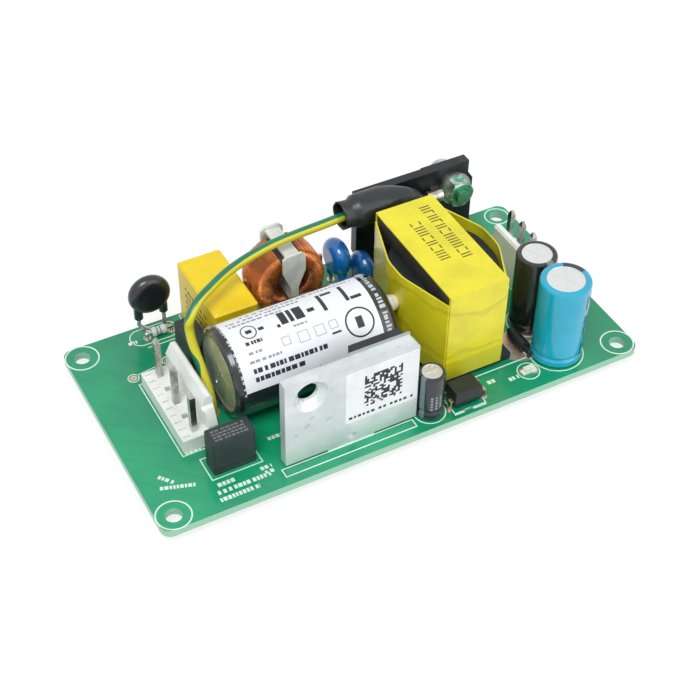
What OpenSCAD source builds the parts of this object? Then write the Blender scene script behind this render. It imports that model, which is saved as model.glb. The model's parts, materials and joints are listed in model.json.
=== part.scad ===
// Open frame power supply on a four by two inch board.
// The origin is the centre of the mounting hole pattern on the board's underside.
// +X runs from the mains header to the output header, +Y to the rear, +Z up.

/* [Board] */
// Distance between the mounting holes along the board
hole_dx = 95.25; // [94.75:0.25:120]
// Distance between the mounting holes across the board
hole_dy = 44.45; // [44.2:0.05:60]
// From the centre of a mounting hole to the board's edges
hole_edge = 3.175; // [2.9:0.025:6]
// Diameter of the mounting holes
hole_d = 3.2; // [2.6:0.1:3.6]
// Thickness of the board
board_t = 1.6; // [1:0.1:2.4]
// Radius of the board's corners
board_r = 2; // [0.5:0.25:2.75]
// Length of the wire ends that stand out below the board
tail = 2; // [1.9:0.1:3]
// Diameter of the round component leads
lead_d = 0.8; // [0.5:0.05:0.9]
// Clearance round a lead in its hole
lead_fit = 0.15; // [0.05:0.05:0.2]

/* [Headers] */
// Distance between neighbouring header positions
pin_pitch = 3.96; // [3.5:0.01:4.2]
// Width across the flats of a header pin
pin_w = 1.14; // [0.8:0.02:1.3]
// Height of a header pin above the board
pin_h = 12.8; // [11.5:0.1:15]
// Width of a header's base across the row of pins
header_w = 7; // [6.5:0.1:7.2]
// Height of a header's base
header_base_h = 3.2; // [2.4:0.1:4]
// Height of a header's locking wall
header_wall_h = 10.5; // [9.8:0.1:11.5]
// Thickness of a header's locking wall
header_wall_t = 1.8; // [1.4:0.1:2.2]

/* [Mains side] */
// Length of a fuse body
fuse_l = 8.5; // [7:0.1:8.8]
// Thickness of a fuse body
fuse_w = 4.1; // [3.4:0.1:4.3]
// Height of a fuse body
fuse_h = 8; // [6:0.1:9]
// Diameter of the thermistor disc
thermistor_d = 8.6; // [7:0.1:9]
// Thickness of the thermistor disc
thermistor_t = 3; // [2:0.1:3.2]
// Height of the thermistor's centre above the board
thermistor_z = 9.6; // [9:0.1:14]
// Width of the interference capacitor along the board
xcap_w = 9.1; // [7:0.1:9.4]
// Depth of the interference capacitor across the board
xcap_l = 17.8; // [14:0.1:18]
// Height of the interference capacitor
xcap_h = 14.3; // [10:0.1:15]
// Outer radius of the choke core
core_ro = 7.2; // [6.4:0.1:7.3]
// Inner radius of the choke core
core_ri = 3.5; // [3.3:0.1:4]
// Axial length of the choke core
core_len = 7.4; // [6:0.1:7.6]
// Diameter of the choke's wire
choke_wire_d = 0.5; // [0.3:0.02:0.52]
// Turns in each choke winding
choke_turns = 15; // [8:1:15]
// Diameter of the safety capacitors
ycap_d = 8; // [6:0.1:8.2]
// Thickness of the safety capacitors
ycap_t = 3.8; // [2.6:0.1:4]

/* [Bulk capacitor] */
// Diameter over the sleeve of the bulk capacitor
bulk_d = 18; // [14:0.1:18.2]
// Length of the bulk capacitor
bulk_l = 33.6; // [26:0.1:33.8]
// Thickness of the printed sleeve
sleeve_t = 0.25; // [0.15:0.05:0.5]
// Distance between the bulk capacitor's leads
bulk_pitch = 7.5; // [5:0.5:8]

/* [Heatsinks] */
// Length of both heatsink plates
sink_l = 27.2; // [24:0.1:27.4]
// Height of the top edge of both heatsink plates above the board
sink_h = 20.5; // [20:0.1:26]
// Thickness of both heatsink plates
sink_t = 2; // [1.5:0.1:2.2]
// Gap between the board and the lower edge of the plates
sink_gap = 0.5; // [0.2:0.1:1]
// Width of the power transistors
to220_w = 10.2; // [9:0.1:10.4]
// Height of the power transistors' bodies
to220_h = 15.9; // [15:0.1:16.2]
// Thickness of the thick half of the power transistors' bodies
to220_t = 4; // [3.2:0.1:4.6]
// Diameter of the earth screw
screw_d = 3; // [2:0.1:3.2]

/* [Transformer] */
// Length of the transformer core across the board
core_y = 27; // [24:0.1:27.2]
// Thickness of the transformer core along the board
core_x = 12.5; // [10:0.1:13]
// Height of the transformer's top above the board
core_top = 22.5; // [20:0.1:26]
// Width of the winding along the board
winding_x = 20.8; // [18:0.1:21]
// Thickness of the insulating tape
tape_t = 0.3; // [0.15:0.05:0.4]

/* [Output side] */
// Diameter of the large output capacitor
outcap_a_d = 10; // [8:0.1:10.2]
// Height of the large output capacitor
outcap_a_h = 19; // [16:0.1:25]
// Diameter of the slim output capacitor
outcap_b_d = 8.1; // [6.3:0.1:8.3]
// Height of the slim output capacitor
outcap_b_h = 18; // [12:0.1:22]
// Diameter of the small control capacitor
ctlcap_d = 5.2; // [4:0.1:5.3]
// Height of the small control capacitor
ctlcap_h = 10.8; // [7:0.1:12]
// Length of the optocoupler's body
opto_l = 6.4; // [5:0.1:6.6]
// Width of the optocoupler's body
opto_w = 4.6; // [4:0.1:6]

/* [Earth wire] */
// Diameter of the earth wire
earth_d = 1.9; // [1.4:0.1:2]
// Diameter of the sleeve over the ferrite bead
bead_sleeve_d = 7; // [6:0.1:7]

/* [Hidden] */

// Flanks of the round surfaces
$fn = 48;
zt = board_t;
// Places of the main pieces, from the nearest row or column of mounting holes
bulk_in_x = 18.325;
bulk_in_y = 19.725;
tr_in_x = 30.475;
tr_in_y = 19.325;
front_in_x = 22.425;
front_in_y = 0.725;
rear_in_x = 36.425;
rear_in_y = 2.825;
ctlcap_in_x = 42.6;
ctlcap_in_y = 0.9;
ycap_b_in_x = 37.4;
ycap_b_in_y = 7.5;
outcap_in_x = 12.3;
outcap_a_in_y = 3.5;
outcap_b_in_y = 13.2;
xcap_in_x = 26.45;
xcap_past_y = 2.3;
choke_in_x = 41.425;
choke_in_y = 4.7;
// Least gaps between neighbours in the middle row, the front row and the left column
row_gap = 2.6;
front_gap = 0.1;
xcap_gap = 0.15;
ycap_gap = 0.02;
// The winding stands off the core's middle by this much
win_shift = 0.6;
ycap_b_d = ycap_d - 1;
// Hole distances, grown where the rows of parts need more board
span_x = max(hole_dx,
    bulk_in_x + bulk_l + row_gap + tape_t + winding_x / 2 - win_shift + tr_in_x,
    front_in_x + sink_l + front_gap + ctlcap_d / 2 + ctlcap_in_x);
span_y = max(hole_dy,
    bulk_in_y + bulk_d / 2 + xcap_gap + xcap_l - xcap_past_y,
    tr_in_y + core_y / 2 + 2 * tape_t + ycap_gap + ycap_b_d / 2 + ycap_b_in_y);
lx = -span_x / 2;
rx = span_x / 2;
fy = -span_y / 2;
ry = span_y / 2;
// Running clearance between pieces that are slipped together
slip = 0.05;
// Radius of a square pin's corners from its axis
pin_r = pin_w * 0.7072;

// Headers: the mains header has five positions and no second and fourth pin, the
// output header has four positions
in_n = 5;
out_n = 4;
header_to_wall = 4.05;
in_header_in = 10.4;
out_header_in = 5.6;
in_x = lx + in_header_in;
in_y = 0;
out_x = rx - out_header_in;
out_y = 3.43;
in_pins = [for (k = [-1:1]) [in_x, in_y + 2 * k * pin_pitch]];
out_pins = [for (k = [0:out_n - 1]) [out_x, out_y + (k - (out_n - 1) / 2) * pin_pitch]];

// Fuses
fuse_a = [lx + 14.4, fy + 6.95];
fuse_b = [lx + 18.9, ry - 10.95];
fuse_pitch = 5.08;
fuse_pins = [for (s = [-0.5, 0.5]) [fuse_a[0] + s * fuse_pitch, fuse_a[1]],
    for (s = [-0.5, 0.5]) [fuse_b[0], fuse_b[1] + s * fuse_pitch]];

// Thermistor
therm = [lx + 15.3, ry + 1.1];
therm_half = 2.6;
therm_pins = [[therm[0] - 0.6, therm[1]], [therm[0] + 2.4, therm[1]]];

// Bleed resistor lying in front of the thermistor
bleed = [lx + 16, ry - 0.55];
bleed_l = 3;
bleed_d = 2;
bleed_half = 2.6;
bleed_z = 1.05;
bleed_pins = [for (s = [-1, 1]) [bleed[0] + s * bleed_half, bleed[1]]];

// Interference capacitor
xcap = [lx + xcap_in_x, ry + xcap_past_y - xcap_l / 2];
xcap_pitch = 15;
xcap_foot = 0.4;
xcap_pins = [for (s = [-0.5, 0.5]) [xcap[0], xcap[1] + s * min(xcap_pitch, xcap_l - 2.5)]];

// Choke, a toroid that stands on edge with its axis across the board
choke_gap = 18;
choke_foot = 1.16;
wire_off = choke_wire_d / 2 + 0.07;
choke = [lx + choke_in_x, ry - choke_in_y, core_ro + 2 * wire_off + choke_foot];
choke_lead_x = core_ro + 2 * wire_off + lead_d / 2 + 0.05;
choke_pins = [for (s = [-1, 1]) each [[choke[0] + s * choke_lead_x, choke[1]],
    [choke[0] + s * 2.9, choke[1] - core_len / 2 - 2 * wire_off - lead_d / 2 - 0.05]]];

// Safety capacitors
ycap_pitch = 5;
ycap_a = [rx - 41.5, ry - 4.1, 8];
ycap_b = [rx - ycap_b_in_x, ry - ycap_b_in_y, 6.3];
ycap_b_t = ycap_t - 0.4;
ycap_pins = [for (s = [-0.5, 0.5]) each [[ycap_a[0], ycap_a[1] + s * ycap_pitch],
    [ycap_b[0], ycap_b[1] + s * ycap_pitch]]];

// Bulk capacitor lying along the board
bulk_x = lx + bulk_in_x;
bulk_end = bulk_x + bulk_l;
bulk_y = fy + bulk_in_y;
bulk_z = bulk_d / 2 + 0.2;
can_r = bulk_d / 2 - sleeve_t - slip;
bung_t = 2.6;
bulk_lead_x = bulk_end + 1.1;
bulk_pins = [for (s = [-0.5, 0.5]) [bulk_lead_x, bulk_y + s * bulk_pitch]];

// Front heatsink and its transistor
front_x = lx + front_in_x;
front_face = fy + front_in_y;
front_back = front_face + sink_t;
pad_t = 0.5;
trans_x = front_x + 20.25;
trans_face = front_back + pad_t;
trans_z = 4.2;
lead_set = 2.2;
lead_pitch = 2.54;
trans_pins = [for (k = [-1:1]) [trans_x + k * lead_pitch, trans_face + lead_set]];
front_hole = [5.2, 16];
front_hole_d = 4;
front_hole_mouth_d = 7;
front_tab_in = 13.4;
front_tab = [front_x + front_tab_in, front_face + sink_t / 2];
tab_w = 3;
tab_t = 1;

// Rear heatsink and its rectifier
rear_x = rx - rear_in_x;
rear_face = ry - rear_in_y;
rear_back = rear_face + sink_t;
rect_x = rx - 14.1;
to220_hole_down = 3.3;
screw_z = 15.5;
rect_z = screw_z + to220_hole_down - to220_h;
rect_pins = [for (k = [-1:1]) [rect_x + k * lead_pitch, rear_back + lead_set]];
rear_tab = [rear_x + 9, rear_face + sink_t / 2];

// Earth screw, washer and nut
washer_d = 7;
washer_t = 0.8;
nut_af = 5.5;
nut_t = 2.4;
term_t = 0.7;
thin_t = 2.5;
screw_head_d = 5.6;
screw_head_t = 1.2;
washer_face = rear_face - term_t;
nut_face = washer_face - washer_t;
barrel_d = 2.8;
barrel_y = rear_face - 1.5;
barrel_l = 3;
barrel_x = rect_x - washer_d / 2 - 0.4 - barrel_l;

// Transformer
tr_x = rx - tr_in_x;
tr_y = fy + tr_in_y;
rail_h = 1.5;
leg = 3.9;
win_fit = 0.3;
win_y = core_y - 2 * leg - 2 * win_fit;
yoke = 4;
core_z0 = rail_h + tape_t;
core_z1 = core_top - tape_t;
band_z0 = 2.4;
band_z1 = core_top - 2;
flange_t = 0.9;
flange_z0 = core_z0 + yoke + 0.05;
flange_z1 = core_z1 - yoke - 0.05;
centre_leg_d = 9;
tube_t = 0.9;
tr_pitch = 3.75;
tr_pins = [for (s = [-1, 1], k = [-2:2])
    [tr_x + k * tr_pitch, tr_y + s * (core_y / 2 - 2)]];

// Output, control and bulk electrolytics: centre, diameter, height, lead pitch
outcap_a = [rx - outcap_in_x, fy + outcap_a_in_y];
outcap_b = [rx - outcap_in_x, fy + outcap_b_in_y];
ctlcap = [rx - ctlcap_in_x, fy + ctlcap_in_y];
outcap_a_pitch = 5;
outcap_b_pitch = 3.5;
ctlcap_pitch = 2;
cap_pins = [for (s = [-0.5, 0.5]) each [[outcap_a[0], outcap_a[1] + s * outcap_a_pitch],
    [outcap_b[0], outcap_b[1] + s * outcap_b_pitch],
    [ctlcap[0], ctlcap[1] + s * ctlcap_pitch]]];

// Optocoupler
opto = [rx - 35.2, fy + 0.85];
opto_row = opto_l / 2 + 0.6;
opto_h = 3.5;
opto_z = 0.5;
opto_pins = [for (s = [-1, 1], k = [-0.5, 0.5])
    [opto[0] + s * opto_row, opto[1] + k * lead_pitch]];

// Snubber diode lying beside the transformer
snub = [rx - 17.8, fy + 8.3];
snub_l = 4.2;
snub_d = 2.4;
snub_half = 3.6;
snub_pins = [for (s = [-1, 1]) [snub[0], snub[1] + s * snub_half]];

// Indicator light
light = [rx - 20, fy + 1.35];

// Earth wire, from the board over the choke to the terminal at the rear heatsink
earth_foot = [lx + 16.5, -2.6];
earth_path = [[earth_foot[0], earth_foot[1], -tail], [earth_foot[0], earth_foot[1], 1.2],
    [-31.2, -2.2, 5], [-31.2, 0.4, 8.6], [-31.2, 4, 12], [-31.2, 6, 15.4],
    [-30.8, 6.2, 18.2], [-28.2, 7.8, 20.1], [-24.6, 9.8, 20.6], [-21, 11.7, 20.8],
    [-17.2, 13.2, 20.9], [-13.4, 13.9, 21.4], [-9.2, 14.6, 21.6], [-4, 15.1, 21.6],
    [1, 15.5, 21.5], [5.6, 15.8, 21.5], [10, 15.9, 21.6], [15.4, 15.9, 21.8]];
sleeve_x = rear_x - 5.7;
sleeve_y = rear_face - bead_sleeve_d / 2;
sleeve_z = zt + 20.2;
// The wire's covered end, from the bead to the terminal's barrel
tail_path = [[sleeve_x + 10, sleeve_y, sleeve_z], [sleeve_x + 14.8, sleeve_y, sleeve_z],
    [sleeve_x + 17.2, sleeve_y + 0.8, sleeve_z - 1.5],
    [sleeve_x + 19, sleeve_y + 1.8, sleeve_z - 3.8],
    [barrel_x - 1.2, barrel_y, zt + screw_z], [barrel_x - 0.25, barrel_y, zt + screw_z]];

// Every hole for a lead: x, y, and the lead's diameter
round_pins = concat(fuse_pins, therm_pins, bleed_pins, xcap_pins, choke_pins,
    ycap_pins, bulk_pins, trans_pins, rect_pins, tr_pins, cap_pins, opto_pins,
    snub_pins);
square_pins = concat(in_pins, out_pins);

module lead_at(p, top, d = lead_d) {
    translate([p[0], p[1], -tail]) cylinder(h = top + tail, d = d, $fn = 24);
}

module rod(a, b, d) {
    v = b - a;
    l = norm(v);
    translate(a) rotate([0, acos(v[2] / l), atan2(v[1], v[0])])
        cylinder(h = l, d = d, $fn = 24);
}

// A bent wire: straight rods with a ball at each bend
module bent(points, d = lead_d) {
    for (i = [0:len(points) - 2]) rod(points[i], points[i + 1], d);
    for (i = [1:len(points) - 2]) translate(points[i]) sphere(d = d, $fn = 24);
}

// Rectangle with round corners, centred
module rounded(l, w, r) {
    square([l - 2 * r, w], center = true);
    square([l, w - 2 * r], center = true);
    for (x = [-1, 1], y = [-1, 1])
        translate([x * (l / 2 - r), y * (w / 2 - r)]) circle(r = r);
}

// Upright square pin with a four-sided point at its top
module square_pin(p) {
    top = zt + pin_h;
    h = pin_w / 2;
    outline = [[-h, -tail], [h, -tail], [h, top - 1], [h * 0.45, top], [-h * 0.45, top],
        [-h, top - 1]];
    translate([p[0], p[1], 0]) intersection() {
        rotate([90, 0, 0]) linear_extrude(pin_w, center = true) polygon(outline);
        rotate([90, 0, 90]) linear_extrude(pin_w, center = true) polygon(outline);
    }
}

// Header housing: base round the pins, and a locking wall with a ramp at its top.
// The row of pins stands on the Y axis and the wall's outer face at +X.
module header(n) {
    w = header_wall_t;
    b = header_base_h;
    t = header_wall_h;
    face = header_to_wall - w;
    l = n * pin_pitch / 2;
    row = [for (k = [0:n - 1]) (k - (n - 1) / 2) * pin_pitch];
    difference() {
        translate([header_to_wall - header_w, -l, 0]) cube([header_w, 2 * l, b]);
        for (y = row) translate([0, y, -1])
            linear_extrude(b + 2) square(pin_w, center = true);
        for (y = row, s = [-1, 1])
            translate([header_to_wall - header_w + 0.5, y + s - 0.25, b - 0.4])
                cube([1.3, 0.5, 1]);
        for (k = [1:n - 1]) translate([-1.8, row[k] - pin_pitch / 2 - 0.45, -0.01])
            cube([3.2, 0.9, 0.8]);
    }
    intersection() {
        translate([0, l + 1, 0]) rotate([90, 0, 0]) linear_extrude(2 * l + 2)
            polygon([[face, b], [header_to_wall, b], [header_to_wall, t - 0.5],
                [header_to_wall - 0.4, t], [face + 0.5, t], [face - 0.55, t - 2.2],
                [face - 0.55, t - 2.7], [face, t - 3.3]]);
        rotate([90, 0, 90]) linear_extrude(2 * header_to_wall)
            polygon([[-l, b - 0.5], [l, b - 0.5], [l, b + 1.4], [l - 1.4, b + 4.6],
                [l - 1.9, b + 5.2], [l - 1.9, t], [1.9 - l, t], [1.9 - l, b + 5.2],
                [1.4 - l, b + 4.6], [-l, b + 1.4]]);
    }
}

// Two-part moulded fuse body, length along X
module fuse_body() {
    cap = 1.3;
    difference() {
        linear_extrude(fuse_h) rounded(fuse_l, fuse_w, 0.5);
        translate([0, 0, cap]) linear_extrude(0.15) difference() {
            square([fuse_l + 1, fuse_w + 1], center = true);
            rounded(fuse_l - 0.3, fuse_w - 0.3, 0.4);
        }
    }
}

// Dipped disc with its face along Y and two coated shoulders that run down
module dipped_disc(d, t, half, low) {
    rotate([90, 0, 0]) rotate_extrude() {
        translate([0, -t / 2]) square([d / 2 - t / 2, t]);
        intersection() {
            translate([d / 2 - t / 2, 0]) circle(d = t);
            translate([0, -t]) square([d, 2 * t]);
        }
    }
    for (s = [-1, 1])
        translate([s * half, 0, low])
            cylinder(h = -low - d * 0.2, d = min(t * 0.62, 1.8), $fn = 24);
}

// Upright electrolytic with a vented top, a rolled groove low on its side and a bung
module upright_can(d, h) {
    g = d * 0.035;
    top_r = d * 0.36;
    difference() {
        rotate_extrude() polygon([[0, 0], [d / 2 - 0.5, 0], [d / 2, 0.5],
            [d / 2, 1.5], [d / 2 - g, 2], [d / 2 - g, 2.3], [d / 2, 2.8],
            [d / 2, h - 0.5], [d / 2 - 0.15, h - 0.15], [d / 2 - 0.5, h],
            [top_r + 0.15, h], [top_r, h - 0.2], [0, h - 0.2]]);
        for (a = [0, 60, 120]) rotate(a)
            translate([-top_r * 0.8, -0.12, h - 0.32]) cube([top_r * 1.6, 0.24, 1]);
    }
}

// Insulated power transistor, its mounting face at y = 0 and its body towards +Y
module to220() {
    w = to220_w;
    difference() {
        translate([-w / 2, 0, 0]) rotate([90, 0, 90]) linear_extrude(w)
            polygon([[0, 0], [to220_t, 0], [to220_t, 8.4], [thin_t, 9.6],
                [thin_t, to220_h - 0.3], [thin_t - 0.3, to220_h], [0, to220_h]]);
        translate([0, -1, to220_h - to220_hole_down]) rotate([-90, 0, 0])
            cylinder(h = to220_t + 2, d = screw_d + 0.2);
        for (s = [-1, 1]) translate([s * w / 2, -1, 11.6]) rotate([-90, 0, 0])
            cylinder(h = to220_t + 2, d = 1.8);
    }
}

// Heatsink plate, lower left corner at the origin and thickness towards +Y
module sink_plate(cut_x, cut_z, foot_x) {
    rotate([90, 0, 0]) translate([0, 0, -sink_t]) linear_extrude(sink_t)
        polygon([[foot_x, sink_gap], [sink_l, sink_gap], [sink_l, sink_h - cut_z],
            [sink_l - cut_x, sink_h], [0, sink_h], [0, sink_gap + foot_x * 2.5]]);
}

// Rings of points swept along a path, ring i turned so that it faces norms[i]
module sweep(path, norms, r, sides = 8) {
    n = len(path);
    pts = [for (i = [0:n - 1])
        let (t = path[min(i + 1, n - 1)] - path[max(i - 1, 0)],
            u = t / norm(t),
            b0 = cross(u, norms[i]),
            b = b0 / norm(b0),
            c = cross(b, u))
        for (j = [0:sides - 1]) path[i] + r * (cos(360 * j / sides) * c
            + sin(360 * j / sides) * b)];
    side = [for (i = [0:n - 2], j = [0:sides - 1]) let (a = i * sides + j,
        b = i * sides + (j + 1) % sides) each [[a, b + sides, b], [a, a + sides, b + sides]]];
    first = [for (j = [0:sides - 1]) j];
    last = [for (j = [0:sides - 1]) n * sides - 1 - j];
    polyhedron(points = pts, faces = concat(side, [first, last]), convexity = 8);
}

// Point and outward direction on a winding's rounded section, twelve to a turn
section_r = 1;
function corner(k) = floor((k % 12) / 3);
function turn_angle(k) = corner(k) * 90 + (k % 3) * 45;
function section(k) = let (c = corner(k), a = turn_angle(k),
    hx = (core_ro - core_ri) / 2 + wire_off - section_r,
    hy = core_len / 2 + wire_off - section_r)
    [(core_ro + core_ri) / 2 + (c == 0 || c == 3 ? hx : -hx) + section_r * cos(a),
    (c < 2 ? hy : -hy) + section_r * sin(a)];
function around(v, f) = [v[0] * cos(f), v[1], v[0] * sin(f)];

// Helical winding of one half of the choke, from angle f0 over the span df
module winding(f0, df) {
    n = choke_turns * 12;
    path = [for (k = [0:n]) around(section(k), f0 + df * k / n)];
    norms = [for (k = [0:n]) around([cos(turn_angle(k)), sin(turn_angle(k))],
        f0 + df * k / n)];
    translate([choke[0], choke[1], zt + choke[2]]) sweep(path, norms, choke_wire_d / 2, 6);
}

// Smooth curve through hand-set points, four steps to each span
function spline(p, t) = let (n = len(p) - 1, i = min(floor(t), n - 1), u = t - i,
    a = p[max(i - 1, 0)], b = p[i], c = p[i + 1], d = p[min(i + 2, n)])
    0.5 * (2 * b + (c - a) * u + (2 * a - 5 * b + 4 * c - d) * u * u
    + (3 * b - a - 3 * c + d) * u * u * u);

// Bent wire of radius r through points, rounded at its bends
module bent_sweep(points, r, facing) {
    n = (len(points) - 1) * 3;
    sweep([for (k = [0:n]) spline(points, k / 3)], [for (k = [0:n]) facing], r, 8);
}

// Outline of the core and winding together, as the belly tape runs round them
module belly_plan(grow) {
    hull() {
        square([core_x + 2 * grow, core_y + 2 * grow], center = true);
        translate([win_shift, 0]) rounded(winding_x + 2 * grow, win_y, 8, $fn = 48);
    }
}

module circuit_board() {
    color([0.05, 0.6, 0.4]) linear_extrude(board_t) difference() {
        rounded(span_x + 2 * hole_edge, span_y + 2 * hole_edge, board_r);
        for (x = [lx, rx], y = [fy, ry]) translate([x, y]) circle(d = hole_d);
        for (p = round_pins) translate(p) circle(d = lead_d + 2 * lead_fit, $fn = 24);
        for (p = square_pins) translate(p) circle(r = pin_r + lead_fit, $fn = 24);
        translate(earth_foot) circle(d = earth_d + 2 * lead_fit, $fn = 24);
        for (p = [front_tab, rear_tab])
            translate(p) square([tab_w + 2 * lead_fit, tab_t + 2 * lead_fit], center = true);
    }
}

// Solder cone under the board round one lead of radius r
module solder(p, r) {
    h = tail - 0.7;
    translate([p[0], p[1], -h]) difference() {
        cylinder(h = h, r1 = r + 0.12, r2 = r + 0.55, $fn = 24);
        translate([0, 0, -1]) cylinder(h = h + 2, r = r + 0.02, $fn = 24);
    }
}

module solder_joints() {
    color([0.78, 0.79, 0.8]) {
        for (p = round_pins) solder(p, lead_d / 2);
        for (p = square_pins) solder(p, pin_r);
        solder(earth_foot, earth_d / 2);
    }
}

module input_header() {
    color("white") translate([in_x, in_y, zt]) header(in_n);
}

module input_header_pins() {
    color("silver") for (p = in_pins) square_pin(p);
}

module output_header() {
    color("white") translate([out_x, out_y, zt]) rotate(180) header(out_n);
}

module output_header_pins() {
    color("silver") for (p = out_pins) square_pin(p);
}

module line_fuse() {
    color([0.1, 0.1, 0.11]) translate([fuse_a[0], fuse_a[1], zt]) fuse_body();
}

module neutral_fuse() {
    color([0.1, 0.1, 0.11]) translate([fuse_b[0], fuse_b[1], zt]) rotate(90) fuse_body();
}

module fuse_leads() {
    color("silver") for (p = fuse_pins) lead_at(p, zt);
}

module thermistor() {
    color([0.08, 0.08, 0.09]) translate([therm[0], therm[1], zt + thermistor_z])
        dipped_disc(thermistor_d, thermistor_t, therm_half, 4.4 - thermistor_z);
}

module thermistor_leads() {
    z = zt + 4.4;
    color("silver") for (s = [0, 1]) {
        p = therm_pins[s];
        top = [therm[0] + (s * 2 - 1) * therm_half, therm[1], z];
        bent_sweep([[p[0], p[1], -tail], [p[0], p[1], zt - 0.3], [p[0], p[1], zt + 0.3],
            [top[0], top[1], z - 2], [top[0], top[1], z - 1], top], lead_d / 2, [0, 1, 0]);
    }
}

module bleed_resistor() {
    color([0.85, 0.87, 0.85]) translate([bleed[0] - bleed_l / 2, bleed[1], zt + bleed_z])
        rotate([0, 90, 0]) rotate_extrude() polygon([[0, 0], [bleed_d / 2 - 0.25, 0],
            [bleed_d / 2, 0.25], [bleed_d / 2, 0.7], [bleed_d / 2 - 0.12, 0.9],
            [bleed_d / 2 - 0.12, bleed_l - 0.9], [bleed_d / 2, bleed_l - 0.7],
            [bleed_d / 2, bleed_l - 0.25], [bleed_d / 2 - 0.25, bleed_l], [0, bleed_l]]);
}

module bleed_resistor_leads() {
    z = zt + bleed_z;
    color("silver") for (s = [-1, 1]) bent([[bleed[0] + s * bleed_half, bleed[1], -tail],
        [bleed[0] + s * bleed_half, bleed[1], z], [bleed[0] + s * bleed_l / 2, bleed[1], z]]);
}

module interference_capacitor() {
    color([0.95, 0.85, 0.1]) translate([xcap[0], xcap[1], zt]) {
        translate([0, 0, xcap_foot]) linear_extrude(xcap_h - xcap_foot - 0.4)
            rounded(xcap_w, xcap_l, 0.5);
        hull() {
            translate([0, 0, xcap_h - 0.4]) linear_extrude(0.01)
                rounded(xcap_w, xcap_l, 0.5, $fn = 16);
            translate([0, 0, xcap_h - 0.01]) linear_extrude(0.01)
                rounded(xcap_w - 0.8, xcap_l - 0.8, 0.5, $fn = 16);
        }
        for (x = [-1, 1], y = [-1, 1])
            translate([x * (xcap_w / 2 - 1), y * (xcap_l / 2 - 1.2), 0])
                cylinder(h = xcap_foot + 0.1, d = 1.2, $fn = 24);
    }
}

module interference_capacitor_leads() {
    color("silver") for (p = xcap_pins) lead_at(p, zt + xcap_foot);
}

module choke_core() {
    r = 0.7;
    color([0.35, 0.3, 0.25]) translate([choke[0], choke[1], zt + choke[2]])
        rotate([90, 0, 0]) rotate_extrude()
            translate([(core_ro + core_ri) / 2, 0]) rounded(core_ro - core_ri, core_len, r);
}

// Insulating divider: a web through the core's bore, a band over the core, a shield
// in front of and behind the windings, and a foot on the board
module choke_divider() {
    y = core_len / 2 + 2 * wire_off + choke_wire_d / 2 + 0.08;
    t = 0.6;
    low = -choke[2];
    top = core_ro + 0.15;
    bore = core_ri - 0.1;
    color([0.93, 0.94, 0.92]) translate([choke[0], choke[1], zt + choke[2]]) {
        translate([-0.6, -y, -bore]) cube([1.2, 2 * y, 2 * bore]);
        for (s = [-1, 1]) translate([0, s * (y + t / 2), 0]) rotate([90, 0, 0])
            linear_extrude(t, center = true) polygon([[-1.7, low], [1.7, low],
                [1.7, low + 0.8], [0.8, 0.8 - core_ro], [0.8, 0.2], [2.4, 4.2], [2.4, top + 0.4],
                [1.6, top + 1.2], [-1.6, top + 1.2], [-2.4, top + 0.4], [-2.4, 4.2],
                [-0.8, 0.2], [-0.8, 0.8 - core_ro], [-1.7, low + 0.8]]);
        translate([-1.5, -y - t / 2, top]) cube([3, 2 * y + t, 0.6]);
        translate([-1.7, -y - t / 2, low]) cube([3.4, 2 * y + t, 0.8]);
    }
}

module choke_winding_left() {
    color([0.8, 0.45, 0.2]) winding(90 + choke_gap, 180 - 2 * choke_gap);
}

module choke_winding_right() {
    color([0.8, 0.45, 0.2]) winding(270 + choke_gap, 180 - 2 * choke_gap);
}

module choke_leads() {
    color([0.8, 0.45, 0.2]) for (i = [0, 2]) {
        lead_at(choke_pins[i], zt + choke[2] + 1.5);
        lead_at(choke_pins[i + 1], zt + choke[2] - core_ri - 0.6);
    }
}

module safety_capacitor_left() {
    color([0.05, 0.45, 0.8]) translate([ycap_a[0], ycap_a[1], zt + ycap_a[2]]) rotate(90)
        dipped_disc(ycap_d, ycap_t, ycap_pitch / 2, 2.2 - ycap_a[2]);
}

module safety_capacitor_right() {
    color([0.04, 0.3, 0.6]) translate([ycap_b[0], ycap_b[1], zt + ycap_b[2]]) rotate(90)
        dipped_disc(ycap_b_d, ycap_b_t, ycap_pitch / 2, 2 - ycap_b[2]);
}

module safety_capacitor_leads() {
    color("silver") for (i = [0:3]) lead_at(ycap_pins[i], zt + (i % 2 == 0 ? 2.2 : 2));
}

// Aluminium can of the bulk capacitor, closed and scored at its left end
module bulk_capacitor_can() {
    r = can_r;
    l = bulk_l;
    color([0.85, 0.87, 0.88]) translate([bulk_x, bulk_y, zt + bulk_z]) difference() {
        rotate([0, 90, 0]) rotate_extrude() polygon([[0, 0.35], [r - 1.7, 0.35],
            [r - 1.4, 0.1], [r - 0.8, 0.1], [r - 0.25, 0.35], [r, 0.9],
            [r, l - 5], [r - 0.7, l - 4.4], [r - 0.7, l - 4], [r, l - 3.4], [r, l - 1.6],
            [r - 0.5, l - 0.9], [r - 1.2, l - 0.6], [r - 1.2, l - bung_t - 0.6],
            [0, l - bung_t - 0.6]]);
        for (a = [90, 210, 330]) rotate([a, 0, 0])
            translate([-0.1, -0.2, 0]) cube([0.65, 0.4, r * 0.62]);
    }
}

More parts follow.
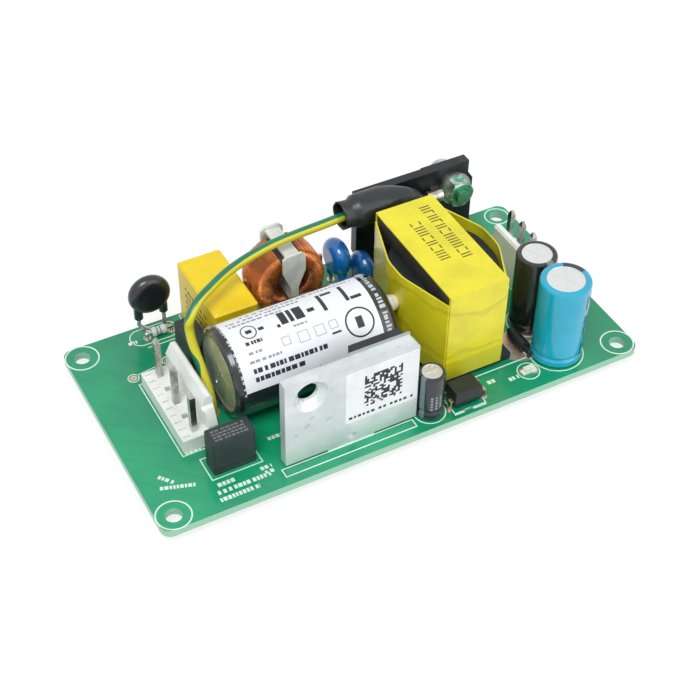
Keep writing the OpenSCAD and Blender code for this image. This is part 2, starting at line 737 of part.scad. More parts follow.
// Shrunk sleeve of the bulk capacitor, rolled over both ends of the can
module bulk_capacitor_sleeve() {
    r = bulk_d / 2;
    s = sleeve_t;
    l = bulk_l;
    color([0.1, 0.11, 0.12]) translate([bulk_x, bulk_y, zt + bulk_z]) rotate([0, 90, 0])
        rotate_extrude() polygon([[r - 1.6, -0.15], [r - 0.9, -0.15], [r - 0.3, 0.2], [r, 1],
            [r, l - 1.2], [r - 0.3, l - 0.5], [r - 1, l], [r - 2, l], [r - 2, l - s + 0.1],
            [r - 1.2, l - s + 0.1], [r - s - 0.25, l - 0.75], [r - s, l - 1.4],
            [r - s, 0.95], [r - s - 0.2, 0.35], [r - 0.95, 0.05], [r - 1.6, 0.05]]);
}

module bulk_capacitor_bung() {
    color([0.12, 0.1, 0.09]) translate([bulk_end - bung_t - 0.55, bulk_y, zt + bulk_z])
        rotate([0, 90, 0]) difference() {
            cylinder(h = bung_t, r = can_r - 1.25);
            for (s = [-0.5, 0.5]) translate([0, s * bulk_pitch, bung_t - 2])
                cylinder(h = 3, d = lead_d + 0.04, $fn = 24);
        }
}

module bulk_capacitor_leads() {
    color("silver") for (p = bulk_pins) bent([[p[0], p[1], -tail],
        [p[0], p[1], zt + bulk_z - 0.6], [p[0] - 0.6, p[1], zt + bulk_z],
        [bulk_end - 2.5, p[1], zt + bulk_z]]);
}

// Printed paper label, a sheet bent over the top and front of the sleeve
module rating_label() {
    t = 0.12;
    low = 62;
    span = 106;
    color([0.95, 0.97, 0.98]) translate([bulk_x + 1.5, bulk_y, zt + bulk_z])
        rotate([90, 0, 90]) rotate([0, 0, low]) rotate_extrude(angle = span)
            translate([bulk_d / 2 + 0.01, 0]) square([t, bulk_l - 5]);
}

module front_heatsink() {
    color([0.88, 0.91, 0.92]) translate([front_x, front_face, zt]) difference() {
        union() {
            sink_plate(1.3, 1.8, 0);
            translate([8.6, 0, 0]) cube([9.6, sink_t, sink_gap + 0.1]);
            translate([front_tab[0] - front_x - tab_w / 2, (sink_t - tab_t) / 2, -zt - tail])
                cube([tab_w, tab_t, zt + tail + 1]);
        }
        translate([front_hole[0], -1, front_hole[1]]) rotate([-90, 0, 0])
            cylinder(h = sink_t + 2, d = front_hole_d);
        translate([front_hole[0], -0.01, front_hole[1]]) rotate([-90, 0, 0])
            cylinder(h = 1.4, d1 = front_hole_mouth_d, d2 = front_hole_d);
        translate([13.5, -0.01, 1.9]) rotate([-90, 0, 0]) cylinder(h = 0.7, d = 1.8, $fn = 24);
    }
}

module heatsink_sticker() {
    color([0.96, 0.96, 0.96])
        translate([front_x + 12.1, front_face - 0.1, zt + 5.5]) cube([15, 0.1, 12.5]);
}

module thermal_pad() {
    color([0.7, 0.73, 0.74])
        translate([front_x + 8.2, front_back, zt + 2.6]) cube([18, pad_t, sink_h - 2.4]);
}

module switching_transistor() {
    color([0.1, 0.1, 0.11]) translate([trans_x, trans_face, zt + trans_z]) to220();
}

// Three flat leads below a transistor whose mounting face lies at y
module to220_leads(pins, body_z) {
    for (p = pins) {
        lead_at(p, zt + 1.6);
        translate([p[0] - 0.55, p[1] - 0.3, zt + 1.2]) cube([1.1, 0.6, body_z - 1.2]);
    }
}

module transistor_leads() {
    color("silver") to220_leads(trans_pins, trans_z);
}

module rear_heatsink() {
    color([0.1, 0.11, 0.12]) translate([rear_x, rear_face, zt]) difference() {
        union() {
            sink_plate(3, 4.6, 2);
            translate([rear_tab[0] - rear_x - tab_w / 2, (sink_t - tab_t) / 2, -zt - tail])
                cube([tab_w, tab_t, zt + tail + 1]);
        }
        translate([rect_x - rear_x, -1, screw_z]) rotate([-90, 0, 0])
            cylinder(h = sink_t + 2, d = screw_d + 0.3);
    }
}

module output_rectifier() {
    color([0.1, 0.1, 0.11]) translate([rect_x, rear_back, zt + rect_z]) to220();
}

module rectifier_leads() {
    color("silver") to220_leads(rect_pins, rect_z);
}

module earth_screw() {
    head = rear_back + thin_t;
    color("silver") translate([rect_x, 0, zt + screw_z]) rotate([-90, 0, 0]) {
        translate([0, 0, nut_face - nut_t - 0.8])
            cylinder(h = head - nut_face + nut_t + 0.9, d = screw_d);
        translate([0, 0, head]) difference() {
            cylinder(h = screw_head_t, d = screw_head_d);
            translate([-screw_head_d, -0.4, screw_head_t - 0.5])
                cube([2 * screw_head_d, 0.8, 1]);
        }
    }
}

module earth_washer() {
    color([0.7, 0.8, 0.75]) translate([rect_x, nut_face, zt + screw_z]) rotate([-90, 0, 0])
        difference() {
            cylinder(h = washer_t, d = washer_d);
            translate([0, 0, -1]) cylinder(h = washer_t + 2, d = screw_d + 0.2);
        }
}

module earth_nut() {
    color([0.6, 0.8, 0.7]) translate([rect_x, nut_face - nut_t, zt + screw_z])
        rotate([-90, 0, 0]) difference() {
            intersection() {
                cylinder(h = nut_t, r = nut_af / 2 / cos(30), $fn = 6);
                rotate_extrude() polygon([[0, 0], [nut_af / 2 - 0.1, 0],
                    [nut_af / 2 + 0.5, 0.6], [nut_af / 2 + 0.5, nut_t], [0, nut_t]]);
            }
            translate([0, 0, -1]) cylinder(h = nut_t + 2, d = screw_d + 0.1);
        }
}

// Ring terminal: flat ring under the washer, neck, and a crimped barrel
module earth_terminal() {
    z = zt + screw_z;
    color("silver") {
        translate([rect_x, rear_face - term_t, z]) rotate([-90, 0, 0]) difference() {
            union() {
                cylinder(h = term_t, d = washer_d - 0.4);
                translate([-5.2, -1, 0]) cube([4, 2, term_t]);
            }
            translate([0, 0, -1]) cylinder(h = term_t + 2, d = screw_d + 0.2);
        }
        translate([barrel_x, barrel_y, z]) rotate([0, 90, 0])
            cylinder(h = barrel_l + 0.3, d = barrel_d);
    }
}

module earth_wire() {
    n = (len(earth_path) - 1) * 3;
    path = [for (k = [0:n]) spline(earth_path, k / 3)];
    norms = [for (k = [0:n]) [0.25, -1, 0.1]];
    color([0.05, 0.5, 0.35]) sweep(path, norms, earth_d / 2, 8);
}

module ferrite_sleeve() {
    r = bead_sleeve_d / 2;
    t = 0.35;
    color([0.12, 0.13, 0.14]) {
        translate([sleeve_x, sleeve_y, sleeve_z]) rotate([0, 90, 0])
            rotate_extrude() polygon([[r - 0.5, 0], [r - 0.6, 1], [r - 0.7, 2.3], [r, 3.2],
                [r, 9.8], [r - 0.8, 13.6], [1.9, 14.8], [1.45, 14.8], [1.45, 10.4],
                [r - t, 9.6], [r - t, 3.2], [r - 0.7 - t, 2.5], [r - 0.6 - t, 1],
                [r - 0.5 - t, 0]]);
        bent_sweep(tail_path, 1.2, [0.2, 1, 0.3]);
    }
}

module ferrite_bead() {
    color([0.2, 0.2, 0.2]) translate([sleeve_x + 3.3, sleeve_y, sleeve_z]) rotate([0, 90, 0])
        difference() {
            cylinder(h = 6.2, r = bead_sleeve_d / 2 - 0.4);
            translate([0, 0, -1]) cylinder(h = 9, r = 1.5);
        }
}

// Pair of E cores, middle legs upright, seen as one block with two windows
module transformer_core() {
    h = core_z1 - core_z0;
    color([0.13, 0.13, 0.14]) translate([tr_x, tr_y, zt + core_z0]) {
        difference() {
            translate([-core_x / 2, -core_y / 2, 0]) cube([core_x, core_y, h]);
            translate([-core_x, leg - core_y / 2, yoke])
                cube([2 * core_x, core_y - 2 * leg, h - 2 * yoke]);
        }
        translate([0, 0, yoke - 0.5]) cylinder(h = h - 2 * yoke + 1, d = centre_leg_d);
    }
}

// Bobbin: tube round the middle leg, two flanges, and a rail of pins at each end
module transformer_bobbin() {
    inner = centre_leg_d / 2 + slip;
    color([0.12, 0.12, 0.13]) translate([tr_x, tr_y, zt]) {
        difference() {
            union() {
                for (z = [flange_z0, flange_z1 - flange_t]) translate([win_shift, 0, z])
                    linear_extrude(flange_t) rounded(winding_x - 0.4, win_y, 7.8);
                translate([0, 0, flange_z0])
                    cylinder(h = flange_z1 - flange_z0, r = inner + tube_t);
            }
            translate([0, 0, 1]) cylinder(h = core_top, r = inner);
        }
        for (s = [-1, 1]) translate([0, s * (core_y / 2 - 2), 0])
            difference() {
                translate([-9.2, -1.8, 0]) cube([18.4, 3.6, rail_h]);
                for (k = [-2:2]) translate([k * tr_pitch, 0, 0.6])
                    cylinder(h = 4, d = lead_d + 0.04, $fn = 24);
                for (k = [-2:2]) translate([k * tr_pitch, 0, -1])
                    cylinder(h = 4, d = lead_d + 0.04, $fn = 24);
            }
    }
}

module transformer_winding() {
    z0 = flange_z0 + flange_t;
    color([0.75, 0.42, 0.2]) translate([tr_x, tr_y, zt + z0])
        linear_extrude(flange_z1 - flange_t - z0) difference() {
            translate([win_shift, 0]) rounded(winding_x - 0.4, win_y, 7.8);
            circle(r = centre_leg_d / 2 + slip + tube_t);
        }
}

// Insulating tape: a strip over the core's top and ends, and a belly band round it all
module transformer_tape() {
    t = tape_t;
    color([0.92, 0.88, 0.12]) translate([tr_x, tr_y, zt]) {
        translate([0, 0, band_z0]) linear_extrude(band_z1 - band_z0) difference() {
            belly_plan(t);
            belly_plan(0.02);
        }
        difference() {
            translate([-core_x / 2, -core_y / 2 - 2 * t, core_z0 - t])
                cube([core_x, core_y + 4 * t, core_z1 - core_z0 + 2 * t]);
            translate([-core_x, -core_y / 2 - 0.01, core_z0])
                cube([2 * core_x, core_y + 0.02, core_z1 - core_z0]);
            translate([-core_x, -core_y / 2 - t, band_z0])
                cube([2 * core_x, core_y + 2 * t, band_z1 - band_z0]);
        }
    }
}

module transformer_pins() {
    color("silver") for (p = tr_pins) lead_at(p, zt + rail_h - 0.1, lead_d);
}

module large_output_capacitor() {
    color([0.1, 0.68, 0.8]) translate([outcap_a[0], outcap_a[1], zt])
        upright_can(outcap_a_d, outcap_a_h);
}

module slim_output_capacitor() {
    color([0.12, 0.12, 0.13]) translate([outcap_b[0], outcap_b[1], zt])
        upright_can(outcap_b_d, outcap_b_h);
}

module control_capacitor() {
    color([0.12, 0.12, 0.13]) translate([ctlcap[0], ctlcap[1], zt])
        upright_can(ctlcap_d, ctlcap_h);
}

module capacitor_leads() {
    color("silver") for (p = cap_pins) lead_at(p, zt);
}

module optocoupler() {
    d = 0.45;
    mid = opto_z + opto_h * 0.45;
    color([0.1, 0.1, 0.11]) translate([opto[0], opto[1], zt]) {
        for (z = [opto_z, opto_z + opto_h - 0.01]) hull() {
            translate([-opto_l / 2, -opto_w / 2, mid]) cube([opto_l, opto_w, 0.01]);
            translate([d - opto_l / 2, d - opto_w / 2, z])
                cube([opto_l - 2 * d, opto_w - 2 * d, 0.01]);
        }
    }
}

module optocoupler_leads() {
    z = zt + opto_z + opto_h * 0.45;
    color("silver") for (p = opto_pins) {
        s = p[0] > opto[0] ? 1 : -1;
        lead_at(p, z - 1.2, 0.6);
        translate([p[0] - 0.15, p[1] - 0.5, z - 1.6]) cube([0.3, 1, 1.85]);
        translate([s > 0 ? opto[0] + opto_l / 2 : p[0] - 0.15, p[1] - 0.5, z])
            cube([opto_row - opto_l / 2 + 0.15, 1, 0.25]);
    }
}

module snubber_diode() {
    color([0.1, 0.1, 0.11]) translate([snub[0], snub[1], zt + snub_d / 2 + 0.1])
        rotate([90, 0, 0]) cylinder(h = snub_l, d = snub_d, center = true, $fn = 32);
    z = zt + snub_d / 2 + 0.1;
    color("silver") for (s = [-1, 1]) bent([[snub[0], snub[1] + s * snub_half, -tail],
        [snub[0], snub[1] + s * snub_half, z], [snub[0], snub[1] + s * (snub_l / 2 - 0.1), z]]);
}

module indicator_light() {
    color([0.9, 0.95, 0.9]) translate([light[0], light[1], zt]) {
        translate([-1.6, -0.65, 0]) cube([3.2, 1.3, 0.35]);
        translate([-1, -0.6, 0.3]) cube([2, 1.2, 0.7]);
    }
}

// Small outline chip under the board, its leads soldered flat to the underside
module controller_chip() {
    color([0.1, 0.1, 0.11]) translate([rx - 42, fy + 11.2, -1.6]) {
        translate([-2.5, -2, 0.1]) cube([5, 4, 1.4]);
        for (s = [-1, 1], k = [-1.5:1.5]) translate([k * 1.27 - 0.2, s * 2.5 - 0.6, 1.4])
            cube([0.4, 1.2, 0.2]);
    }
}

// Chip resistors and capacitors under the board: x, y and quarter turn
smd = [[-34, -6, 0], [-30.5, -6, 0], [-24, -13, 1], [-12, -8, 0], [-8, -8, 0],
    [2, -13, 1], [0, -4, 0], [12, -19, 1], [23, -20, 0], [22, 14, 1], [30, -2, 0],
    [31.5, 14, 0]];

module surface_mount_parts() {
    color([0.25, 0.2, 0.18]) for (s = smd) translate([s[0], s[1], -0.6]) rotate(s[2] * 90)
        translate([-1, -0.6, 0]) cube([2, 1.2, 0.6]);
}

// Dabs of silicone that hold tall parts to their neighbours
module adhesive_dabs() {
    gap = tr_x + win_shift - winding_x / 2 - tape_t - bulk_end - 0.04;
    color([0.93, 0.93, 0.9]) translate([bulk_end + 0.02, bulk_y - 1.6, zt + 13.4])
        rotate([0, 90, 0]) rotate_extrude() polygon([[0, 0], [1.3, 0], [1.6, 0.4],
            [1.7, gap / 2], [1.5, gap - 0.4], [1.2, gap], [0, gap]]);
}

circuit_board();
solder_joints();
input_header();
input_header_pins();
output_header();
output_header_pins();
line_fuse();
neutral_fuse();
fuse_leads();
thermistor();
thermistor_leads();
bleed_resistor();
bleed_resistor_leads();
interference_capacitor();
interference_capacitor_leads();
choke_core();
choke_divider();
choke_winding_left();
choke_winding_right();
choke_leads();
safety_capacitor_left();
safety_capacitor_right();
safety_capacitor_leads();
bulk_capacitor_can();
bulk_capacitor_sleeve();
bulk_capacitor_bung();
bulk_capacitor_leads();
rating_label();
front_heatsink();
heatsink_sticker();
thermal_pad();
switching_transistor();
transistor_leads();
rear_heatsink();
output_rectifier();
rectifier_leads();
earth_screw();
earth_washer();
earth_nut();
earth_terminal();
earth_wire();
ferrite_sleeve();
ferrite_bead();
transformer_core();
transformer_bobbin();
transformer_winding();
transformer_tape();
transformer_pins();
large_output_capacitor();
slim_output_capacitor();
control_capacitor();
capacitor_leads();
optocoupler();
optocoupler_leads();
snubber_diode();
indicator_light();
controller_chip();
surface_mount_parts();
adhesive_dabs();
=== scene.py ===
"""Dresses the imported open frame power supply: finishes, print, windings, wire and labels."""

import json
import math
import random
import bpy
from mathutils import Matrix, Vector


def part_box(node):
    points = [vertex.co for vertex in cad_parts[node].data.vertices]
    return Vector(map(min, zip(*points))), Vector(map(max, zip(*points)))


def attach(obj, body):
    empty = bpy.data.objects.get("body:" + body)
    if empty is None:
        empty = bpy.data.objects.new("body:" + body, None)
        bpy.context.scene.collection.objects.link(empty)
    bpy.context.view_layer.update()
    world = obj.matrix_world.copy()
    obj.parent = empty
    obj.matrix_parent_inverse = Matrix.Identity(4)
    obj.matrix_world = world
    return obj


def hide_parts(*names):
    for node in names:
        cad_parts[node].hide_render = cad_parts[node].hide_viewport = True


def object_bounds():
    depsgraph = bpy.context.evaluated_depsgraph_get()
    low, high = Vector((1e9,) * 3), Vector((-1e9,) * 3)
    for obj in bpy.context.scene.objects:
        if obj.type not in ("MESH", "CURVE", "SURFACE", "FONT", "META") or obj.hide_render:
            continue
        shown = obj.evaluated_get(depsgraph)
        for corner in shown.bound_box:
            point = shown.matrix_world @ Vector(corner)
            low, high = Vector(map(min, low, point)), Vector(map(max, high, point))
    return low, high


bl_info = {
    "name": "Open Frame Power Supply Looks",
    "version": (1, 0, 0),
    "blender": (4, 5, 0),
    "location": "View3D > Sidebar > Power Supply",
    "description": "Finishes and fine pieces around the solids of an open frame power supply",
    "category": "Object",
}

import bmesh
import bpy
from bpy.props import (
    FloatProperty,
    FloatVectorProperty,
    IntProperty,
    PointerProperty,
)
from mathutils import Matrix, Vector, noise

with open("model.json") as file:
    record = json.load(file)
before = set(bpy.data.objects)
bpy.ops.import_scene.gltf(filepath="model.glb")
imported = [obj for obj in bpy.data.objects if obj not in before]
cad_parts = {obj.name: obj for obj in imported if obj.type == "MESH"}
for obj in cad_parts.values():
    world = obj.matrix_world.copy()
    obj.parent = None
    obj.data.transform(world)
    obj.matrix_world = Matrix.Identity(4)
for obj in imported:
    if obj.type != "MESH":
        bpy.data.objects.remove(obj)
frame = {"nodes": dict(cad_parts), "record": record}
CAD_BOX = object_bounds()
NODES = frame["nodes"]
SLOT_OF = {part["node"]: part["material_slot"] for part in frame["record"]["subparts"]}
MM = 0.001


SIDE_SHARE = 0.42  # strength of the side lamp against the main lamp
CAMERA_PLACE = (-0.102871, -0.183843, 0.205543)
CAMERA_RIGHT = (0.88023, -0.47433, 0.01448)
CAMERA_UP = (0.32078, 0.61722, 0.71844)
CAMERA_AHEAD = (0.34971, 0.62774, -0.69545)
FLOOR_REACH = 3.0  # half side of the floor, in metres
HOLE_INSET = 3.175  # from the board's edges to the middle of each mounting hole
SAMPLES_PER_TURN = 22
TURN_SQUARENESS = 5.0  # exponent of the rounded square section of a turn
WINDING_BORE = 3.12  # inner radius of the turns
WINDING_HALF_LENGTH = 4.02
WINDING_ARC = 144  # degrees of the core that one winding covers
BARE_TOP_SHARE = 0.36  # radius of a can's bare top against the can's diameter


def box_mm(node):
    """Lowest and highest corner of a CAD node, in millimetres."""
    low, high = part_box(node)
    return low / MM, high / MM


def mid_mm(node):
    """Middle of a CAD node's box, in millimetres."""
    low, high = box_mm(node)
    return (low + high) / 2


BOARD_TOP = box_mm("circuit_board")[1].z
BOARD_UNDERSIDE = box_mm("circuit_board")[0].z


def srgb(red, green, blue):
    """Linear colour with full alpha from 0 to 255 display values."""
    linear = []
    for value in (red, green, blue):
        c = value / 255
        linear.append(c / 12.92 if c <= 0.04045 else ((c + 0.055) / 1.055) ** 2.4)
    return (*linear, 1.0)


def shade(colour, factor):
    """The same colour, lighter or darker."""
    return (*(min(c * factor, 1.0) for c in colour[:3]), 1.0)


# ---------------------------------------------------------------- settings


def colour_property(name, description, default):
    return FloatVectorProperty(
        name=name,
        description=description,
        subtype="COLOR",
        size=4,
        min=0.0,
        max=1.0,
        default=default,
    )


def length_property(name, description, default_mm):
    return FloatProperty(
        name=name,
        description=description,
        unit="LENGTH",
        min=0.0,
        precision=6,
        default=default_mm * MM,
    )


class BoardLooks(bpy.types.PropertyGroup):
    mask: colour_property("Solder mask", "Colour of the board's solder mask", srgb(20, 162, 112))
    mask_deep: colour_property(
        "Deep solder mask", "Solder mask where it lies over bare laminate", srgb(0, 128, 90)
    )
    edge: colour_property("Board edge", "Cut laminate at the board's edge", srgb(150, 200, 170))
    ink: colour_property("Board print", "Ink of the outlines on the board", srgb(222, 245, 232))
    pad: colour_property("Pads", "Tinned copper round the holes", srgb(214, 170, 130))
    line: length_property("Line width", "Width of the printed outlines", 0.22)
    ink_height: length_property("Ink thickness", "Height of the print above the board", 0.03)


class ChokeLooks(bpy.types.PropertyGroup):
    turns: IntProperty(
        name="Turns", description="Turns of wire in each winding", min=4, max=90, default=46
    )
    wire: length_property("Wire diameter", "Diameter over the enamel", 0.36)
    layer: length_property("Layer step", "How far every second turn stands off the bore", 0.34)
    enamel: colour_property("Enamel", "Lacquered copper in the light", srgb(226, 138, 70))
    # The deep enamel colour is both the second tone of the copper's slow drift and the painted
    # shade laid on the bore side of the turns
    enamel_tone_and_shade: colour_property(
        "Deep enamel", "Lacquered copper in the hollows", srgb(120, 58, 26)
    )


class WireLooks(bpy.types.PropertyGroup):
    green: colour_property("Green", "Base colour of the earth wire", srgb(14, 120, 84))
    yellow: colour_property("Yellow", "Stripe of the earth wire", srgb(214, 206, 40))
    diameter: length_property("Diameter", "Diameter over the insulation", 1.9)
    steps: IntProperty(
        name="Steps", description="Rings of the wire between two route points", min=2, default=8
    )


class LabelLooks(bpy.types.PropertyGroup):
    paper: colour_property("Paper", "Label stock", srgb(240, 244, 248))
    ink: colour_property("Ink", "Dark print on the label", srgb(40, 44, 50))
    faint: colour_property("Faint ink", "Grey print on the label", srgb(150, 156, 166))
    modules: IntProperty(
        name="Modules", description="Squares along one side of the sticker's pattern",
        min=4, max=40, default=18,
    )
    seed: IntProperty(name="Seed", description="Seed of the sticker's pattern", default=7)


class PartLooks(bpy.types.PropertyGroup):
    film: colour_property(
        "Film capacitor", "Box of the interference capacitor", srgb(243, 214, 20)
    )
    tape: colour_property("Tape", "Transformer tape", srgb(238, 226, 34))
    blue: colour_property("Blue lacquer", "Dipped safety capacitors", srgb(14, 118, 200))
    cyan: colour_property(
        "Cyan sleeve", "Sleeve of the large output capacitor", srgb(16, 172, 205)
    )
    black: colour_property("Black mouldings", "Moulded and sleeved black parts", srgb(34, 40, 43))
    nylon: colour_property("Nylon", "Header housings", srgb(240, 243, 240))


class StageLooks(bpy.types.PropertyGroup):
    fill: FloatProperty(
        name="Fill", description="Strength of the light from all sides", min=0.0, default=0.5
    )
    key: FloatProperty(name="Key", description="Strength of the main lamp", min=0.0, default=1.75)
    lens: FloatProperty(
        name="Lens", description="Focal length on a 36 mm sensor", unit="CAMERA", default=76.84
    )
    drop: length_property("Floor drop", "How far the floor lies below the wire ends", 0.02)


LOOKS = {
    "psu_board": BoardLooks,
    "psu_choke": ChokeLooks,
    "psu_wire": WireLooks,
    "psu_label": LabelLooks,
    "psu_parts": PartLooks,
    "psu_stage": StageLooks,
}


# ---------------------------------------------------------------- node helpers


class Web:
    """Adds and links nodes in one shader or geometry tree."""

    def __init__(self, tree):
        self.tree = tree

    def add(self, kind, values=None, **settings):
        node = self.tree.nodes.new(kind)
        for key, value in settings.items():
            setattr(node, key, value)
        for key, value in (values or {}).items():
            self.feed(node.inputs[key], value)
        return node

    def feed(self, socket, value):
        if isinstance(value, bpy.types.NodeSocket):
            self.tree.links.new(value, socket)
        else:
            socket.default_value = value

    def math(self, operation, *values, clamp=False):
        node = self.add("ShaderNodeMath", operation=operation, use_clamp=clamp)
        for index, value in enumerate(values):
            self.feed(node.inputs[index], value)
        return node.outputs[0]

    def mix(self, factor, first, second):
        node = self.add("ShaderNodeMix", data_type="RGBA")
        self.feed(node.inputs[0], factor)
        self.feed(node.inputs[6], first)
        self.feed(node.inputs[7], second)
        return node.outputs[2]

    def step(self, value, low, high):
        """Smooth rise from 0 to 1 as the value goes from low to high."""
        node = self.add(
            "ShaderNodeMapRange",
            {"From Min": low, "From Max": high},
            interpolation_type="SMOOTHSTEP",
        )
        self.feed(node.inputs["Value"], value)
        return node.outputs[0]

    def below(self, value, low, high):
        """Smooth fall from 1 to 0 as the value goes from low to high."""
        return self.math("SUBTRACT", 1.0, self.step(value, low, high))

    def hypotenuse(self, first, second):
        """Length of the two values taken as the sides of a right angle."""
        squares = (self.math("MULTIPLY", side, side) for side in (first, second))
        return self.math("SQRT", self.math("ADD", *squares))

    def noise(self, vector, scale, detail=3.0, rough=0.55):
        values = {"Scale": scale, "Detail": detail, "Roughness": rough}
        node = self.add("ShaderNodeTexNoise", values)
        self.feed(node.inputs["Vector"], vector)
        return node.outputs["Fac"]

    def split(self, vector):
        node = self.add("ShaderNodeSeparateXYZ")
        self.feed(node.inputs[0], vector)
        return node.outputs

    def centred(self, vector, centre_mm):
        """The vector measured from a point given in millimetres."""
        node = self.add("ShaderNodeMapping", {"Location": tuple(-c * MM for c in centre_mm)})
        self.feed(node.inputs["Vector"], vector)
        return node.outputs[0]


def new_group(kind, name, inputs, outputs):
    """A node group and its web, with sockets given as (name, type, default)."""
    group = bpy.data.node_groups.new(name, kind)
    for title, sort, default in inputs:
        socket = group.interface.new_socket(title, in_out="INPUT", socket_type=sort)
        if default is not None:
            socket.default_value = default
    for title, sort in outputs:
        group.interface.new_socket(title, in_out="OUTPUT", socket_type=sort)
    web = Web(group)
    return group, web, web.add("NodeGroupInput").outputs, web.add("NodeGroupOutput").inputs


FLOAT, COLOUR, VECTOR = "NodeSocketFloat", "NodeSocketColor", "NodeSocketVector"


def tone_drift_group():
    """Slow change between two tones, with an amount."""
    group, web, given, out = new_group(
        "ShaderNodeTree",
        "Tone Drift",
        [
            ("Vector", VECTOR, None),
            ("Scale", FLOAT, 60.0),
            ("Colour", COLOUR, (0.5, 0.5, 0.5, 1)),
            ("Second Colour", COLOUR, (0.4, 0.4, 0.4, 1)),
            ("Amount", FLOAT, 1.0),
        ],
        [("Colour", COLOUR)],
    )
    cloud = web.noise(given["Vector"], given["Scale"], 4.0, 0.6)
    mask = web.math("MULTIPLY", web.step(cloud, 0.36, 0.66), given["Amount"], clamp=True)
    web.feed(out["Colour"], web.mix(mask, given["Colour"], given["Second Colour"]))
    return group


def fine_grain_group():
    """Small uneven grain of a moulded or sprayed surface, and the roughness that goes with it."""
    group, web, given, out = new_group(
        "ShaderNodeTree",
        "Fine Grain",
        [
            ("Vector", VECTOR, None),
            ("Scale", FLOAT, 3000.0),
            ("Roughness", FLOAT, 0.4),
            ("Spread", FLOAT, 0.12),
        ],
        [("Height", FLOAT), ("Roughness", FLOAT)],
    )
    fine = web.noise(given["Vector"], given["Scale"], 2.0, 0.5)
    broad = web.noise(given["Vector"], web.math("MULTIPLY", given["Scale"], 0.07), 3.0, 0.6)
    web.feed(out["Height"], web.math("MULTIPLY_ADD", broad, 1.6, fine))
    shift = web.math("MULTIPLY", web.math("SUBTRACT", broad, 0.5), given["Spread"])
    web.feed(out["Roughness"], web.math("ADD", given["Roughness"], shift, clamp=True))
    return group


def brushed_grain_group():
    """Long fine scratches of rolled or brushed metal along one direction."""
    group, web, given, out = new_group(
        "ShaderNodeTree",
        "Brushed Grain",
        [("Vector", VECTOR, None), ("Stretch", VECTOR, (1.0, 1.0, 1.0)), ("Scale", FLOAT, 900.0)],
        [("Height", FLOAT), ("Mask", FLOAT)],
    )
    stretched = web.add("ShaderNodeVectorMath", operation="MULTIPLY")
    web.feed(stretched.inputs[0], given["Vector"])
    web.feed(stretched.inputs[1], given["Stretch"])
    lines = web.noise(stretched.outputs[0], given["Scale"], 5.0, 0.7)
    web.feed(out["Height"], lines)
    web.feed(out["Mask"], web.step(lines, 0.42, 0.62))
    return group


def scuffs_group():
    """Sparse small marks from handling."""
    group, web, given, out = new_group(
        "ShaderNodeTree",
        "Scuffs",
        [("Vector", VECTOR, None), ("Scale", FLOAT, 500.0), ("Share", FLOAT, 0.3)],
        [("Mask", FLOAT)],
    )
    specks = web.noise(given["Vector"], given["Scale"], 6.0, 0.75)
    patches = web.noise(given["Vector"], web.math("MULTIPLY", given["Scale"], 0.15), 2.0, 0.5)
    speck_mask = web.step(specks, 0.56, 0.64)
    patch_mask = web.step(patches, 0.48, 0.6)
    both = web.math("MULTIPLY", speck_mask, patch_mask)
    web.feed(out["Mask"], web.math("MULTIPLY", both, given["Share"], clamp=True))
    return group


GROUP_MAKERS = {
    "Tone Drift": tone_drift_group,
    "Fine Grain": fine_grain_group,
    "Brushed Grain": brushed_grain_group,
    "Scuffs": scuffs_group,
}


def placed_group(web, name, values):
    """One shared group placed in a material with its own values."""
    tree = bpy.data.node_groups.get(name) or GROUP_MAKERS[name]()
    node = web.add("ShaderNodeGroup")
    node.node_tree = tree
    for key, value in values.items():
        web.feed(node.inputs[key], value)
    return node.outputs


